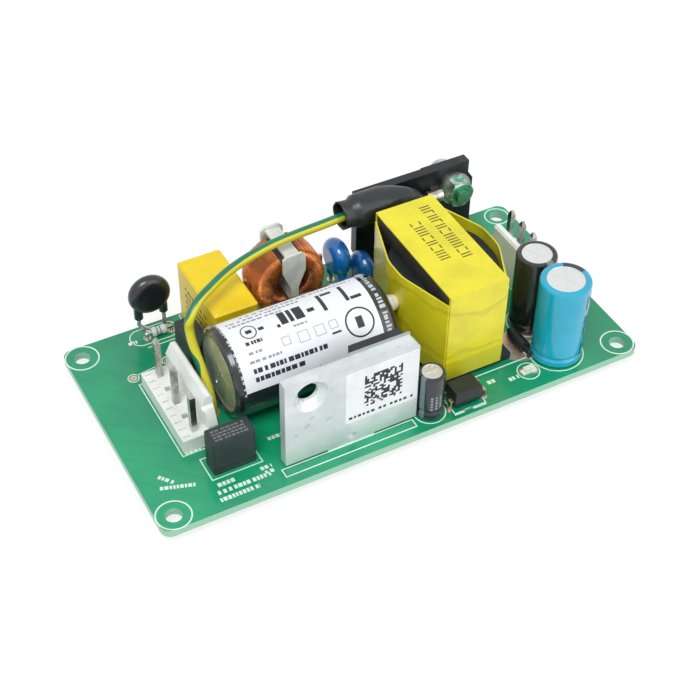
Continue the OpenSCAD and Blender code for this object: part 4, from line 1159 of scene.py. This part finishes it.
class MainsPartsOperator(bpy.types.Operator):
    """Finish the thermistor, the bleed resistor and the interference capacitor"""

    bl_idname = "psu.mains_parts"
    bl_label = "Mains Side Parts"

    def execute(self, context):
        dress(
            plain_finish("thermistor_epoxy", srgb(30, 34, 38), 0.7, roughness=0.3, coat=0.4,
                         drift=300, grain=1200, relief=0.03),
            "thermistor",
        )
        resistor = Finish(
            "resistor_body", srgb(214, 224, 220), srgb(186, 204, 206), roughness=0.32,
            drift=500, relief=0.008,
        )
        web = resistor.web
        centre = mid_mm("bleed_resistor")
        along = web.split(web.centred(resistor.coords, centre))[0]
        for offset in (-0.55, 0.1):
            gap = web.math("ABSOLUTE", web.math("SUBTRACT", along, offset * MM))
            resistor.cover(web.below(gap, 0.12 * MM, 0.17 * MM), srgb(128, 136, 140))
        dress(resistor.done(), "bleed_resistor")
        film = context.scene.psu_parts.film
        dress(
            Finish("film_box", tuple(film), srgb(228, 190, 8), roughness=0.34, drift=110,
                   amount=0.6, grain=2600, relief=0.012, scuffs=0.2,
                   scuff_colour=srgb(196, 160, 10)).done(),
            "interference_capacitor",
        )
        shape = Shape()
        low, high = box_mm("interference_capacitor")
        dice = random.Random(9)

        def on_left(u, v, h):
            return Vector((low.x - h, high.y - u, low.z + v))

        for v in (3.4, 5.0, 6.6, 8.2, 9.8):
            shape.words(3.5, 13.5, v, v + 0.7, on_left, 0.012, dice, 0.3, 1.1)
        shape.piece(
            "film_box_marks", plain_finish("film_ink", srgb(120, 104, 20), roughness=0.5),
            "capacitor_yellow",
        )
        return {"FINISHED"}


# ---------------------------------------------------------------- choke


class ChokeOperator(bpy.types.Operator):
    """Wind the choke with dense enamelled wire and finish its core and divider"""

    bl_idname = "psu.choke"
    bl_label = "Common Mode Choke"

    def execute(self, context):
        looks = context.scene.psu_choke
        copper = Finish(
            "enamelled_copper", tuple(looks.enamel), tuple(looks.enamel_tone_and_shade), roughness=0.27,
            metallic=0.72, coat=0.3, drift=420, amount=0.6, grain=5200, relief=0.004,
        )
        # Painted shade: the bore side of the turns sits in the dark, so the copper is painted
        # browner there
        web = copper.web
        centre = mid_mm("choke_core")
        low, high = box_mm("choke_core")
        x, _, z = web.split(web.centred(copper.coords, centre))
        painted_bore_shade = web.below(web.hypotenuse(x, z), 3.2 * MM, 6.4 * MM)
        copper.cover(web.math("MULTIPLY", painted_bore_shade, 0.75), tuple(looks.enamel_tone_and_shade))
        material = copper.done()
        tree = winding_tree()
        outer = (high.x - low.x) / 2
        for name, start, seed in (
            ("choke_winding_left", 108, 3), ("choke_winding_right", 288, 8),
        ):
            mesh = grow(tree, name, {
                "Turns": looks.turns,
                "Wire Radius": looks.wire / 2,
                "Bore Radius": WINDING_BORE * MM,
                "Rim Radius": (outer + 0.34) * MM,
                "Half Length": WINDING_HALF_LENGTH * MM,
                "Layer Step": looks.layer,
                "Start Angle": math.radians(start),
                "Arc": math.radians(WINDING_ARC),
                "Centre": centre * MM,
                "Looseness": 0.07 * MM,
                "Seed": seed,
                "Material": material,
            })
            finished_piece(name.replace("choke_winding", "copper_turns"), mesh,
                           (name,), smooth=True)
        dress(material, "choke_leads")
        ferrite = Finish("ferrite", srgb(52, 50, 50), srgb(34, 34, 36), roughness=0.6,
                         drift=260, grain=3600, relief=0.03, scuffs=0.2,
                         scuff_colour=srgb(96, 92, 90)).done()
        dress(ferrite, *(n for n in NODES if SLOT_OF.get(n) == "ferrite_black"))
        dress(
            Finish("divider_plastic", srgb(228, 232, 224), srgb(196, 204, 196), roughness=0.38,
                   drift=240, amount=0.9, grain=2400, relief=0.012).done(),
            "choke_divider",
        )
        dress(
            Finish("inner_copper", srgb(186, 104, 52), srgb(96, 48, 24), roughness=0.3,
                   metallic=0.7, drift=500, relief=0.01).done(),
            "transformer_winding",
        )
        return {"FINISHED"}


class SafetyCapacitorsOperator(bpy.types.Operator):
    """Lacquer the two dipped safety capacitors"""

    bl_idname = "psu.safety_capacitors"
    bl_label = "Safety Capacitors"

    def execute(self, context):
        blue = tuple(context.scene.psu_parts.blue)
        for node, tone in (("safety_capacitor_left", 1.0), ("safety_capacitor_right", 0.55)):
            colour = shade(blue, tone)
            dress(
                Finish(node + "_lacquer", colour, shade(colour, 0.72), roughness=0.16,
                       coat=0.6, drift=160, amount=0.7, grain=700, spread=0.06,
                       relief=0.03).done(),
                node,
            )
        return {"FINISHED"}


# ---------------------------------------------------------------- bulk capacitor


class BulkCapacitorOperator(bpy.types.Operator):
    """Finish the bulk capacitor and print its label with plain bars and rings"""

    bl_idname = "psu.bulk_capacitor"
    bl_label = "Bulk Capacitor and Label"

    def execute(self, context):
        looks = context.scene.psu_label
        dress(
            Finish("can_aluminium", srgb(222, 226, 224), srgb(190, 200, 194), roughness=0.36,
                   metallic=0.85, drift=260, grain=3000, relief=0.01, scuffs=0.3,
                   scuff_colour=srgb(150, 156, 150)).done(),
            "bulk_capacitor_can",
        )
        sleeve = Finish("sleeve_black", srgb(30, 36, 39), srgb(22, 27, 30), roughness=0.2,
                        coat=0.5, drift=120, grain=900, spread=0.1, relief=0.03)
        dress(sleeve.done(), "bulk_capacitor_sleeve")
        dress(plain_finish("bung_rubber", srgb(44, 38, 35), 0.8, roughness=0.75, grain=3000,
                           relief=0.03), "bulk_capacitor_bung")
        paper = Finish("label_paper", tuple(looks.paper), shade(tuple(looks.paper), 0.93),
                       roughness=0.32, drift=90, amount=0.5, grain=5000, relief=0.004).done()
        dress(paper, "rating_label")
        self.print_label(looks)
        self.print_sleeve()
        return {"FINISHED"}

    def around_can(self, start_x, radius, first_angle):
        """Lays (u, v) on the can: u along it from start_x, v round it from first_angle."""
        axis = mid_mm("bulk_capacitor_sleeve")

        def place(u, v, h):
            angle = first_angle + v / radius
            r = radius + h
            return Vector((start_x + u, axis.y + r * math.cos(angle),
                           axis.z + r * math.sin(angle)))

        return place

    def print_label(self, looks):
        low = box_mm("rating_label")[0]
        radius = (box_mm("bulk_capacitor_sleeve")[1].z - mid_mm("bulk_capacitor_sleeve").z) + 0.13
        place = self.around_can(low.x, radius, math.radians(62))
        dice = random.Random(21)
        dark, faint = Shape(), Shape()
        h = 0.012
        # Rows of small print: shape, ends along the can, ends round it, gap, longest bar
        rows = [
            (faint, 4.5, 27.4, 0.8, 1.25, 0.25, 1.0), (faint, 1.2, 16.0, 1.9, 2.35, 0.25, 1.0),
            (faint, 1.4, 12.0, 2.9, 3.35, 0.25, 1.0), (dark, 2.6, 5.9, 7.6, 8.3, 0.15, 0.8),
            (faint, 12.4, 15.2, 7.4, 7.8, 0.12, 0.7), (faint, 2.4, 5.0, 9.6, 10.1, 0.2, 0.9),
            (faint, 2.0, 8.4, 11.2, 11.7, 0.2, 1.1), (dark, 2.2, 17.4, 12.7, 13.6, 0.2, 1.2),
            (dark, 2.2, 12.4, 14.3, 15.2, 0.2, 1.2),
        ]
        for shape, u0, u1, v0, v1, gap, longest in rows:
            shape.words(u0, u1, v0, v1, place, h, dice, gap, longest)
        # Small ring and large ring
        dark.ring((4.2, 5.6), 1.45, 0.22, place, h)
        dark.ring((24.6, 11.0), 2.75, 0.34, place, h, 72)
        # Plain dark bars: beside and inside the rings, the middle block, the heavy strokes
        bars = [
            (3.6, 4.8, 5.2, 6.0), (6.1, 7.2, 5.4, 6.1), (10.6, 12.0, 3.6, 6.6),
            (12.4, 13.2, 3.6, 6.6), (13.6, 15.4, 3.6, 6.6), (16.2, 17.6, 5.0, 5.9),
            (9.6, 10.2, 6.2, 6.9), (19.2, 19.95, 2.4, 6.8), (20.2, 22.4, 2.4, 3.1),
            (24.0, 24.75, 1.9, 6.3), (25.0, 27.2, 5.6, 6.3), (23.9, 25.3, 9.9, 12.1),
            (18.7, 20.6, 11.2, 11.6),
        ]
        for ends in bars:
            dark.bar(*ends, place, h)
        # Row of thin outlined boxes
        for u, size in ((9.2, 1.5), (12.4, 2.0), (15.8, 1.9), (18.8, 1.5)):
            faint.outline(u, u + size, 9.0, 9.0 + size, 0.12, place, h, 0.3)
        dark.piece("label_dark_print",
                   plain_finish("label_ink", tuple(looks.ink), 0.8, roughness=0.5), "label_white")
        faint.piece("label_grey_print",
                    plain_finish("label_faint_ink", tuple(looks.faint), 0.9, roughness=0.5),
                    "label_white")

    def print_sleeve(self):
        low, high = box_mm("bulk_capacitor_sleeve")
        radius = high.z - mid_mm("bulk_capacitor_sleeve").z
        dice = random.Random(5)
        marks = Shape()
        left = self.around_can(low.x + 1.25, radius, math.radians(58))
        right = self.around_can(low.x + 31.0, radius, math.radians(50))
        for place, wide in ((left, 0.5), (right, 1.2)):
            v = 0.0
            while v < 17.5:
                tall = dice.uniform(0.35, 0.9)
                marks.bar(dice.uniform(0, 0.2), wide * dice.uniform(0.7, 1.0), v, v + tall,
                          place, 0.012)
                v += tall + dice.choice((0.25, 0.3, 0.8))
        marks.piece("sleeve_marks",
                    plain_finish("sleeve_ink", srgb(196, 204, 206), 0.9, roughness=0.4),
                    "sleeve_black")


# ---------------------------------------------------------------- heatsinks


class HeatsinksOperator(bpy.types.Operator):
    """Finish both heatsinks, the sticker, the pad and the power transistors"""

    bl_idname = "psu.heatsinks"
    bl_label = "Heatsinks and Transistors"

    def execute(self, context):
        looks = context.scene.psu_label
        plate = Finish(
            "rolled_aluminium", srgb(226, 232, 233), srgb(206, 214, 216), roughness=0.46,
            metallic=0.55, drift=150, amount=0.8, grain=3200, relief=0.012, scuffs=0.55,
            scuff_colour=srgb(150, 158, 162), scuff_scale=420,
        )
        brushed = placed_group(
            plate.web, "Brushed Grain",
            {"Vector": plate.coords, "Stretch": (0.12, 1.0, 1.0), "Scale": 2200.0},
        )
        plate.cover(plate.web.math("MULTIPLY", brushed["Mask"], 0.1), srgb(180, 188, 192))
        plate.height = plate.web.math("ADD", plate.height, brushed["Height"])
        dress(plate.done(), "front_heatsink")
        black = Finish(
            "black_anodised", srgb(30, 35, 38), srgb(22, 26, 29), roughness=0.38, metallic=0.25,
            drift=140, grain=2600, relief=0.012, scuffs=0.25, scuff_colour=srgb(76, 84, 88),
        )
        dress(black.done(), "rear_heatsink")
        dress(
            Finish("sticker_paper", srgb(240, 243, 245), srgb(226, 230, 233), roughness=0.4,
                   drift=140, relief=0.006).done(),
            "heatsink_sticker",
        )
        dress(plain_finish("thermal_pad", srgb(168, 174, 176), 0.9, roughness=0.7,
                           relief=0.02), "thermal_pad")
        self.print_sticker(looks)
        moulding = Finish(
            "black_moulding", tuple(context.scene.psu_parts.black), srgb(24, 29, 32),
            roughness=0.46, drift=220, grain=4600, relief=0.015, scuffs=0.1,
            scuff_colour=srgb(80, 86, 88),
        ).done()
        dress(moulding, *(n for n in NODES if SLOT_OF.get(n) == "moulding_black"))
        return {"FINISHED"}

    def print_sticker(self, looks):
        low, high = box_mm("heatsink_sticker")
        ink = plain_finish("sticker_ink", srgb(34, 37, 41), 0.8, roughness=0.5)
        side = 7.8
        tree = modules_tree()
        mesh = grow(tree, "sticker_modules", {
            "Side": side * MM,
            "Count": looks.modules,
            "Thickness": 0.03 * MM,
            "Share": 0.54,
            "Seed": looks.seed,
            "Centre": Vector((low.x + 7.7, low.y, high.z - 5.7)) * MM,
            "Material": ink,
        })
        finished_piece("sticker_modules", mesh)
        row = Shape()

        def place(u, v, h):
            return Vector((low.x + u, low.y - h, low.z + v))

        row.words(0.7, 14.0, 0.9, 1.5, place, 0.012, random.Random(2), 0.35, 0.7)
        row.piece("sticker_row", ink, "sticker_white")


class EarthFasteningOperator(bpy.types.Operator):
    """Finish the earth screw, washer and nut, with locking lacquer on the nut"""

    bl_idname = "psu.earth_fastening"
    bl_label = "Earth Screw and Nut"

    def execute(self, context):
        plated = Finish("plated_steel", srgb(206, 214, 210), srgb(168, 180, 176), roughness=0.3,
                        metallic=0.9, drift=500, grain=4000, relief=0.01, scuffs=0.3)
        web = plated.web
        centre = mid_mm("earth_nut")
        cloud = web.noise(plated.coords, 900.0, 2.0)
        x, y, z = web.split(web.centred(plated.coords, centre))
        reach = web.hypotenuse(x, z)
        edge = web.math("MULTIPLY_ADD", web.math("SUBTRACT", cloud, 0.5), 4.0 * MM, reach)
        front = web.below(y, 0.6 * MM, 1.8 * MM)
        lacquer = web.math("MULTIPLY", web.below(edge, 2.6 * MM, 3.0 * MM), front)
        plated.cover(web.math("MULTIPLY", lacquer, 0.85), srgb(64, 160, 118))
        dress(plated.done(), "earth_screw", "earth_washer", "earth_nut")
        return {"FINISHED"}


# ---------------------------------------------------------------- earth wire

# Middle line of the earth wire in millimetres, the same points as the CAD wire has
WIRE_ROUTE = [
    (-31.125, -2.6, -2.0), (-31.125, -2.6, 1.2), (-31.2, -2.2, 5.0), (-31.2, 0.4, 8.6),
    (-31.2, 4.0, 12.0), (-31.2, 6.0, 15.4), (-30.8, 6.2, 18.2), (-28.2, 7.8, 20.1),
    (-24.6, 9.8, 20.6), (-21.0, 11.7, 20.8), (-17.2, 13.2, 20.9), (-13.4, 13.9, 21.4),
    (-9.2, 14.6, 21.6), (-4.0, 15.1, 21.6), (1.0, 15.5, 21.5), (5.6, 15.8, 21.5),
    (10.0, 15.9, 21.6), (15.4, 15.9, 21.8),
]


# Distance along the shrunk sleeve from its mouth, and radius there, in millimetres
SLEEVE_BODY = [
    (0.0, 3.0), (0.5, 2.95), (1.2, 2.9), (2.0, 2.85), (2.6, 2.95), (3.2, 3.4),
    (4.0, 3.44), (5.2, 3.46), (6.4, 3.44), (7.6, 3.46), (8.8, 3.44), (9.8, 3.4),
    (10.6, 3.2), (11.4, 3.0), (12.2, 2.8), (13.0, 2.55), (13.8, 2.2), (14.6, 1.85),
]
# Offset of the tail's middle line from the mouth, and radius there
SLEEVE_TAIL = [
    (15.4, 0.15, -0.35, 1.6), (16.3, 0.45, -0.9, 1.4), (17.2, 0.8, -1.5, 1.28),
    (18.1, 1.25, -2.6, 1.22), (19.0, 1.8, -3.8, 1.2), (19.8, 2.0, -4.5, 1.2),
    (20.3, 2.0, -4.7, 1.2), (20.85, 2.0, -4.7, 1.2),
]
# Depth inside the open mouth, and radius of the inner wall there
SLEEVE_MOUTH = [(3.1, 2.6), (2.2, 2.5), (1.0, 2.62), (0.15, 2.72)]
SLEEVE_BEAD_START, SLEEVE_BEAD_END, SLEEVE_TAIL_START = 3.4, 9.5, 14.8


def smooth_route(points, steps):
    """Points of a smooth curve through the route."""
    given = [Vector(p) for p in points]
    route = []
    for i in range(len(given) - 1):
        a, b = given[max(i - 1, 0)], given[i]
        c, d = given[i + 1], given[min(i + 2, len(given) - 1)]
        for k in range(steps):
            u = k / steps
            route.append(
                0.5 * (2 * b + (c - a) * u + (2 * a - 5 * b + 4 * c - d) * u * u
                       + (3 * b - a - 3 * c + d) * u ** 3)
            )
    route.append(given[-1])
    return route


def route_frames(route, facing):
    """For each point: the two directions across the route, the first turned towards facing."""
    frames = []
    for i in range(len(route)):
        ahead = (route[min(i + 1, len(route) - 1)] - route[max(i - 1, 0)]).normalized()
        first = (facing - ahead * facing.dot(ahead)).normalized()
        frames.append((first, ahead.cross(first)))
    return frames


class EarthWireOperator(bpy.types.Operator):
    """Lay the striped earth wire and the shrunk sleeve over its ferrite bead"""

    bl_idname = "psu.earth_wire"
    bl_label = "Earth Wire and Sleeve"

    def execute(self, context):
        looks = context.scene.psu_wire
        route = smooth_route(WIRE_ROUTE, looks.steps)
        facing = Vector((0.107, -0.769, -0.64))
        radius = looks.diameter / MM / 2
        sides = 20
        shape, lean = Shape(), []
        rings = []
        for spot, (first, second) in zip(route, route_frames(route, facing)):
            ring = []
            for j in range(sides):
                a = math.tau * j / sides
                ring.append(spot + radius * (math.cos(a) * first + math.sin(a) * second))
                lean.append(math.cos(a))
            rings.append(ring)
        shape.loft(rings)
        wire = shape.piece("earth_wire_striped", self.insulation(looks), "wire_insulation",
                           ("earth_wire",), smooth=True)
        stripe = wire.data.attributes.new("stripe", "FLOAT", "POINT")
        stripe.data.foreach_set("value", lean)
        self.shrunk_sleeve()
        return {"FINISHED"}

    def insulation(self, looks):
        finish = Finish("wire_insulation", tuple(looks.green), shade(tuple(looks.green), 0.75),
                        roughness=0.32, coat=0.2, drift=260, amount=0.6, grain=2600,
                        relief=0.008)
        stripe = finish.web.add("ShaderNodeAttribute", attribute_name="stripe").outputs["Fac"]
        finish.cover(finish.web.step(stripe, -0.08, 0.04), tuple(looks.yellow))
        return finish.done()

    def shrunk_sleeve(self):
        bead = mid_mm("ferrite_bead")
        start = Vector((box_mm("ferrite_sleeve")[0].x, bead.y, bead.z))
        spine = [start + Vector((x, 0, 0)) for x, _ in SLEEVE_BODY]
        spine += [start + Vector(step[:3]) for step in SLEEVE_TAIL]
        radii = [station[-1] for station in SLEEVE_BODY + SLEEVE_TAIL]
        sides = 40
        frames = route_frames(spine, Vector((0, 0, 1)))
        rings = []
        for depth, radius in SLEEVE_MOUTH:
            rings.append(self.crumpled(start + Vector((depth, 0, 0)), radius, frames[0], sides,
                                       0.30 * (1 - depth / 4)))
        for i, (spot, radius) in enumerate(zip(spine, radii)):
            along = spot.x - start.x
            fold = 0.30 * max(0.0, 1 - along / SLEEVE_BEAD_START) + 0.07
            if along > SLEEVE_BEAD_END:
                fold = 0.2 if along < SLEEVE_TAIL_START else 0.05
            rings.append(self.crumpled(spot, radius, frames[i], sides, fold))
        shape = Shape()
        shape.loft(rings)
        rubber = Finish("shrunk_sleeve", srgb(36, 41, 44), srgb(26, 30, 33), roughness=0.36,
                        drift=260, grain=1500, relief=0.05, scuffs=0.15,
                        scuff_colour=srgb(80, 86, 90)).done()
        shape.piece("shrunk_sleeve", rubber, "shrink_black", ("ferrite_sleeve",), smooth=True)

    def crumpled(self, spot, radius, axes, sides, fold):
        """A ring whose radius wanders in and out by the fold."""
        ring = []
        for j in range(sides):
            a = math.tau * j / sides
            way = math.cos(a) * axes[0] + math.sin(a) * axes[1]
            wander = noise.noise(Vector((math.cos(a) * 1.7, math.sin(a) * 1.7, spot.x * 0.16)))
            ring.append(spot + way * (radius - fold * (0.5 + wander)))
        return ring


# ---------------------------------------------------------------- transformer


class TransformerOperator(bpy.types.Operator):
    """Finish the transformer's tape, with plain marks on its top"""

    bl_idname = "psu.transformer"
    bl_label = "Transformer"

    def execute(self, context):
        tape = tuple(context.scene.psu_parts.tape)
        finish = Finish("polyester_tape", tape, srgb(206, 198, 40), roughness=0.26, coat=0.25,
                        drift=120, amount=0.55, grain=900, spread=0.1, relief=0.02)
        web = finish.web
        low = box_mm("transformer_tape")[0]
        height = web.split(finish.coords)[2]
        # Overlap lines of the tape layers, and painted shade: a darker band low on the sides
        painted_low_shade = web.below(height, (low.z + 4.2) * MM, (low.z + 4.5) * MM)
        finish.cover(web.math("MULTIPLY", painted_low_shade, 0.5), srgb(188, 182, 40))
        creases = web.add("ShaderNodeTexWave",
                          {"Scale": 40.0, "Distortion": 9.0, "Detail": 2.0, "Detail Scale": 1.2},
                          bands_direction="Z")
        web.feed(creases.inputs["Vector"], finish.coords)
        line = web.math("MULTIPLY", web.step(creases.outputs["Fac"], 0.93, 1.0), 0.3)
        finish.cover(line, srgb(168, 160, 30))
        finish.height = web.math("ADD", finish.height, web.math("MULTIPLY", line, 2.0))
        dress(finish.done(), "transformer_tape")
        self.print_top()
        return {"FINISHED"}

    def print_top(self):
        high = box_mm("transformer_tape")[1]
        core_high = box_mm("transformer_core")[1]
        ink = plain_finish("tape_ink", srgb(98, 92, 24), 0.8, roughness=0.5)
        dice = random.Random(31)
        shape = Shape()

        def place(u, v, h):
            """u runs from the rear towards the front, v from right to left."""
            return Vector((core_high.x - v, core_high.y - u, high.z + h))

        for v, u0, u1 in ((2.3, 2.0, 19.0), (6.4, 5.5, 16.4)):
            u = u0
            while u < u1:
                tall = 2.2
                kind = dice.randrange(3)
                if kind == 0:
                    shape.bar(u, u + 0.3, v, v + tall, place, 0.012)
                    shape.bar(u + 0.75, u + 1.05, v, v + tall, place, 0.012)
                elif kind == 1:
                    shape.bar(u, u + 0.3, v, v + tall, place, 0.012)
                    shape.bar(u + 0.3, u + 1.05, v, v + 0.3, place, 0.012)
                else:
                    shape.bar(u, u + 1.05, v, v + 0.3, place, 0.012)
                    shape.bar(u, u + 1.05, v + tall - 0.3, v + tall, place, 0.012)
                u += 1.55
        shape.piece("transformer_marks", ink, "tape_yellow")


# ---------------------------------------------------------------- output side


class OutputCapacitorsOperator(bpy.types.Operator):
    """Finish the upright electrolytic capacitors"""

    bl_idname = "psu.output_capacitors"
    bl_label = "Upright Capacitors"

    def execute(self, context):
        parts = context.scene.psu_parts
        navy = srgb(16, 34, 60)
        self.can("large_output_capacitor", "cyan_sleeve", tuple(parts.cyan), navy, 35, 60, 0.5)
        self.can("slim_output_capacitor", "slim_sleeve", srgb(30, 35, 38), srgb(120, 126, 130),
                 -80, 24, 0.35)
        self.can("control_capacitor", "control_sleeve", srgb(34, 42, 50), srgb(110, 120, 130),
                 200, 26, 0.35)
        self.print_marks()
        return {"FINISHED"}

    def can(self, node, name, colour, stripe, middle, width, coat):
        low, high = box_mm(node)
        centre = (low + high) / 2
        diameter = high.x - low.x
        finish = Finish(name, colour, shade(colour, 0.82), roughness=0.22, coat=coat,
                        drift=150, amount=0.7, grain=900, spread=0.08, relief=0.02)
        web = finish.web
        x, y, z = web.split(web.centred(finish.coords, (centre.x, centre.y, high.z)))
        angle = web.math("ARCTAN2", y, x)
        wrapped = web.math("WRAP", web.math("SUBTRACT", angle, math.radians(middle)),
                           math.pi, -math.pi)
        off = web.math("ABSOLUTE", wrapped)
        edge = math.radians(width / 2)
        finish.cover(web.below(off, edge - 0.03, edge + 0.03), stripe)
        rim = diameter * BARE_TOP_SHARE
        top = web.below(web.hypotenuse(x, y), (rim + 0.02) * MM, (rim + 0.1) * MM)
        top = web.math("MULTIPLY", top, web.step(z, -0.6 * MM, -0.5 * MM))
        finish.cover(top, srgb(224, 226, 226), rough=0.38, metallic=0.8)
        dress(finish.done(), node)

    def print_marks(self):
        low, high = box_mm("large_output_capacitor")
        centre = (low + high) / 2
        radius = (high.x - low.x) / 2
        ink = plain_finish("can_ink", srgb(14, 44, 74), 0.8, roughness=0.45)
        shape = Shape()
        dice = random.Random(14)

        def place(u, v, h):
            angle = math.radians(-66) + v / radius
            return Vector((centre.x + (radius + h) * math.cos(angle),
                           centre.y + (radius + h) * math.sin(angle), high.z - 1.6 - u))

        for v, ends in ((0.0, ((0.3, 3.6), (5.4, 7.0), (8.2, 10.6), (12.4, 15.2))),
                        (1.3, ((0.0, 2.8), (5.0, 9.4), (11.0, 14.6))),
                        (2.4, ((5.4, 6.0), (11.4, 12.6)))):
            for u0, u1 in ends:
                u = u0
                while u < u1:
                    length = dice.uniform(0.25, 0.6)
                    shape.bar(u, u + length, v, v + 0.75, place, 0.012, 0.3)
                    u += length + 0.2
        shape.piece("can_marks", ink, "sleeve_cyan")
        small = Shape()
        low_s, high_s = box_mm("control_capacitor")
        middle = (low_s + high_s) / 2
        r = (high_s.x - low_s.x) / 2

        def place_small(u, v, h):
            angle = math.radians(-120) + v / r
            return Vector((middle.x + (r + h) * math.cos(angle),
                           middle.y + (r + h) * math.sin(angle), low_s.z + 2.9 + u))

        for v in (0.0, 0.9, 1.8):
            u = 0.2 * v
            while u < 3.4:
                length = dice.uniform(0.3, 0.7)
                small.bar(u, u + length, v, v + 0.45, place_small, 0.012, 0.2)
                u += length + 0.25
        small.piece("control_can_marks",
                    plain_finish("control_ink", srgb(150, 158, 166), 0.9, roughness=0.5),
                    "sleeve_black")


class SmallPartsOperator(bpy.types.Operator):
    """Finish the indicator light, the chip parts and the adhesive"""

    bl_idname = "psu.small_parts"
    bl_label = "Small Parts and Adhesive"

    def execute(self, context):
        dress(plain_finish("light_body", srgb(236, 240, 230), 0.85, roughness=0.2, coat=0.5,
                           drift=900), "indicator_light")
        dress(plain_finish("chip_ceramic", srgb(150, 130, 112), 0.6, roughness=0.5,
                           drift=700), "surface_mount_parts")
        silicone = Finish("silicone", srgb(232, 232, 224), srgb(206, 208, 198), roughness=0.34,
                          drift=500, grain=1500, relief=0.03).done()
        dress(silicone, "adhesive_dabs")
        return {"FINISHED"}


# ---------------------------------------------------------------- panel and registration

STEPS = [
    StageOperator,
    BoardOperator,
    BoardPrintOperator,
    HeadersOperator,
    FusesOperator,
    MainsPartsOperator,
    ChokeOperator,
    SafetyCapacitorsOperator,
    BulkCapacitorOperator,
    HeatsinksOperator,
    EarthFasteningOperator,
    EarthWireOperator,
    TransformerOperator,
    OutputCapacitorsOperator,
    SmallPartsOperator,
]


class PowerSupplyPanel(bpy.types.Panel):
    """Lists the settings and the steps that dress the power supply"""

    bl_idname = "VIEW3D_PT_power_supply"
    bl_label = "Power Supply"
    bl_space_type = "VIEW_3D"
    bl_region_type = "UI"
    bl_category = "Power Supply"

    def draw(self, context):
        layout = self.layout
        for name, group in LOOKS.items():
            section = layout.box()
            settings = getattr(context.scene, name)
            for key in group.__annotations__:
                section.prop(settings, key)
        for step in STEPS:
            layout.operator(step.bl_idname)


CLASSES = [*LOOKS.values(), *STEPS, PowerSupplyPanel]


def register():
    for cls in CLASSES:
        bpy.utils.register_class(cls)
    for name, group in LOOKS.items():
        setattr(bpy.types.Scene, name, PointerProperty(type=group))


def unregister():
    for name in LOOKS:
        delattr(bpy.types.Scene, name)
    for cls in reversed(CLASSES):
        bpy.utils.unregister_class(cls)


def main():
    register()
    for step in STEPS:
        family, name = step.bl_idname.split(".")
        if getattr(getattr(bpy.ops, family), name)() != {"FINISHED"}:
            raise RuntimeError(f"{step.bl_label} did not finish")
    bpy.context.view_layer.update()


if __name__ == "__main__":
    main()
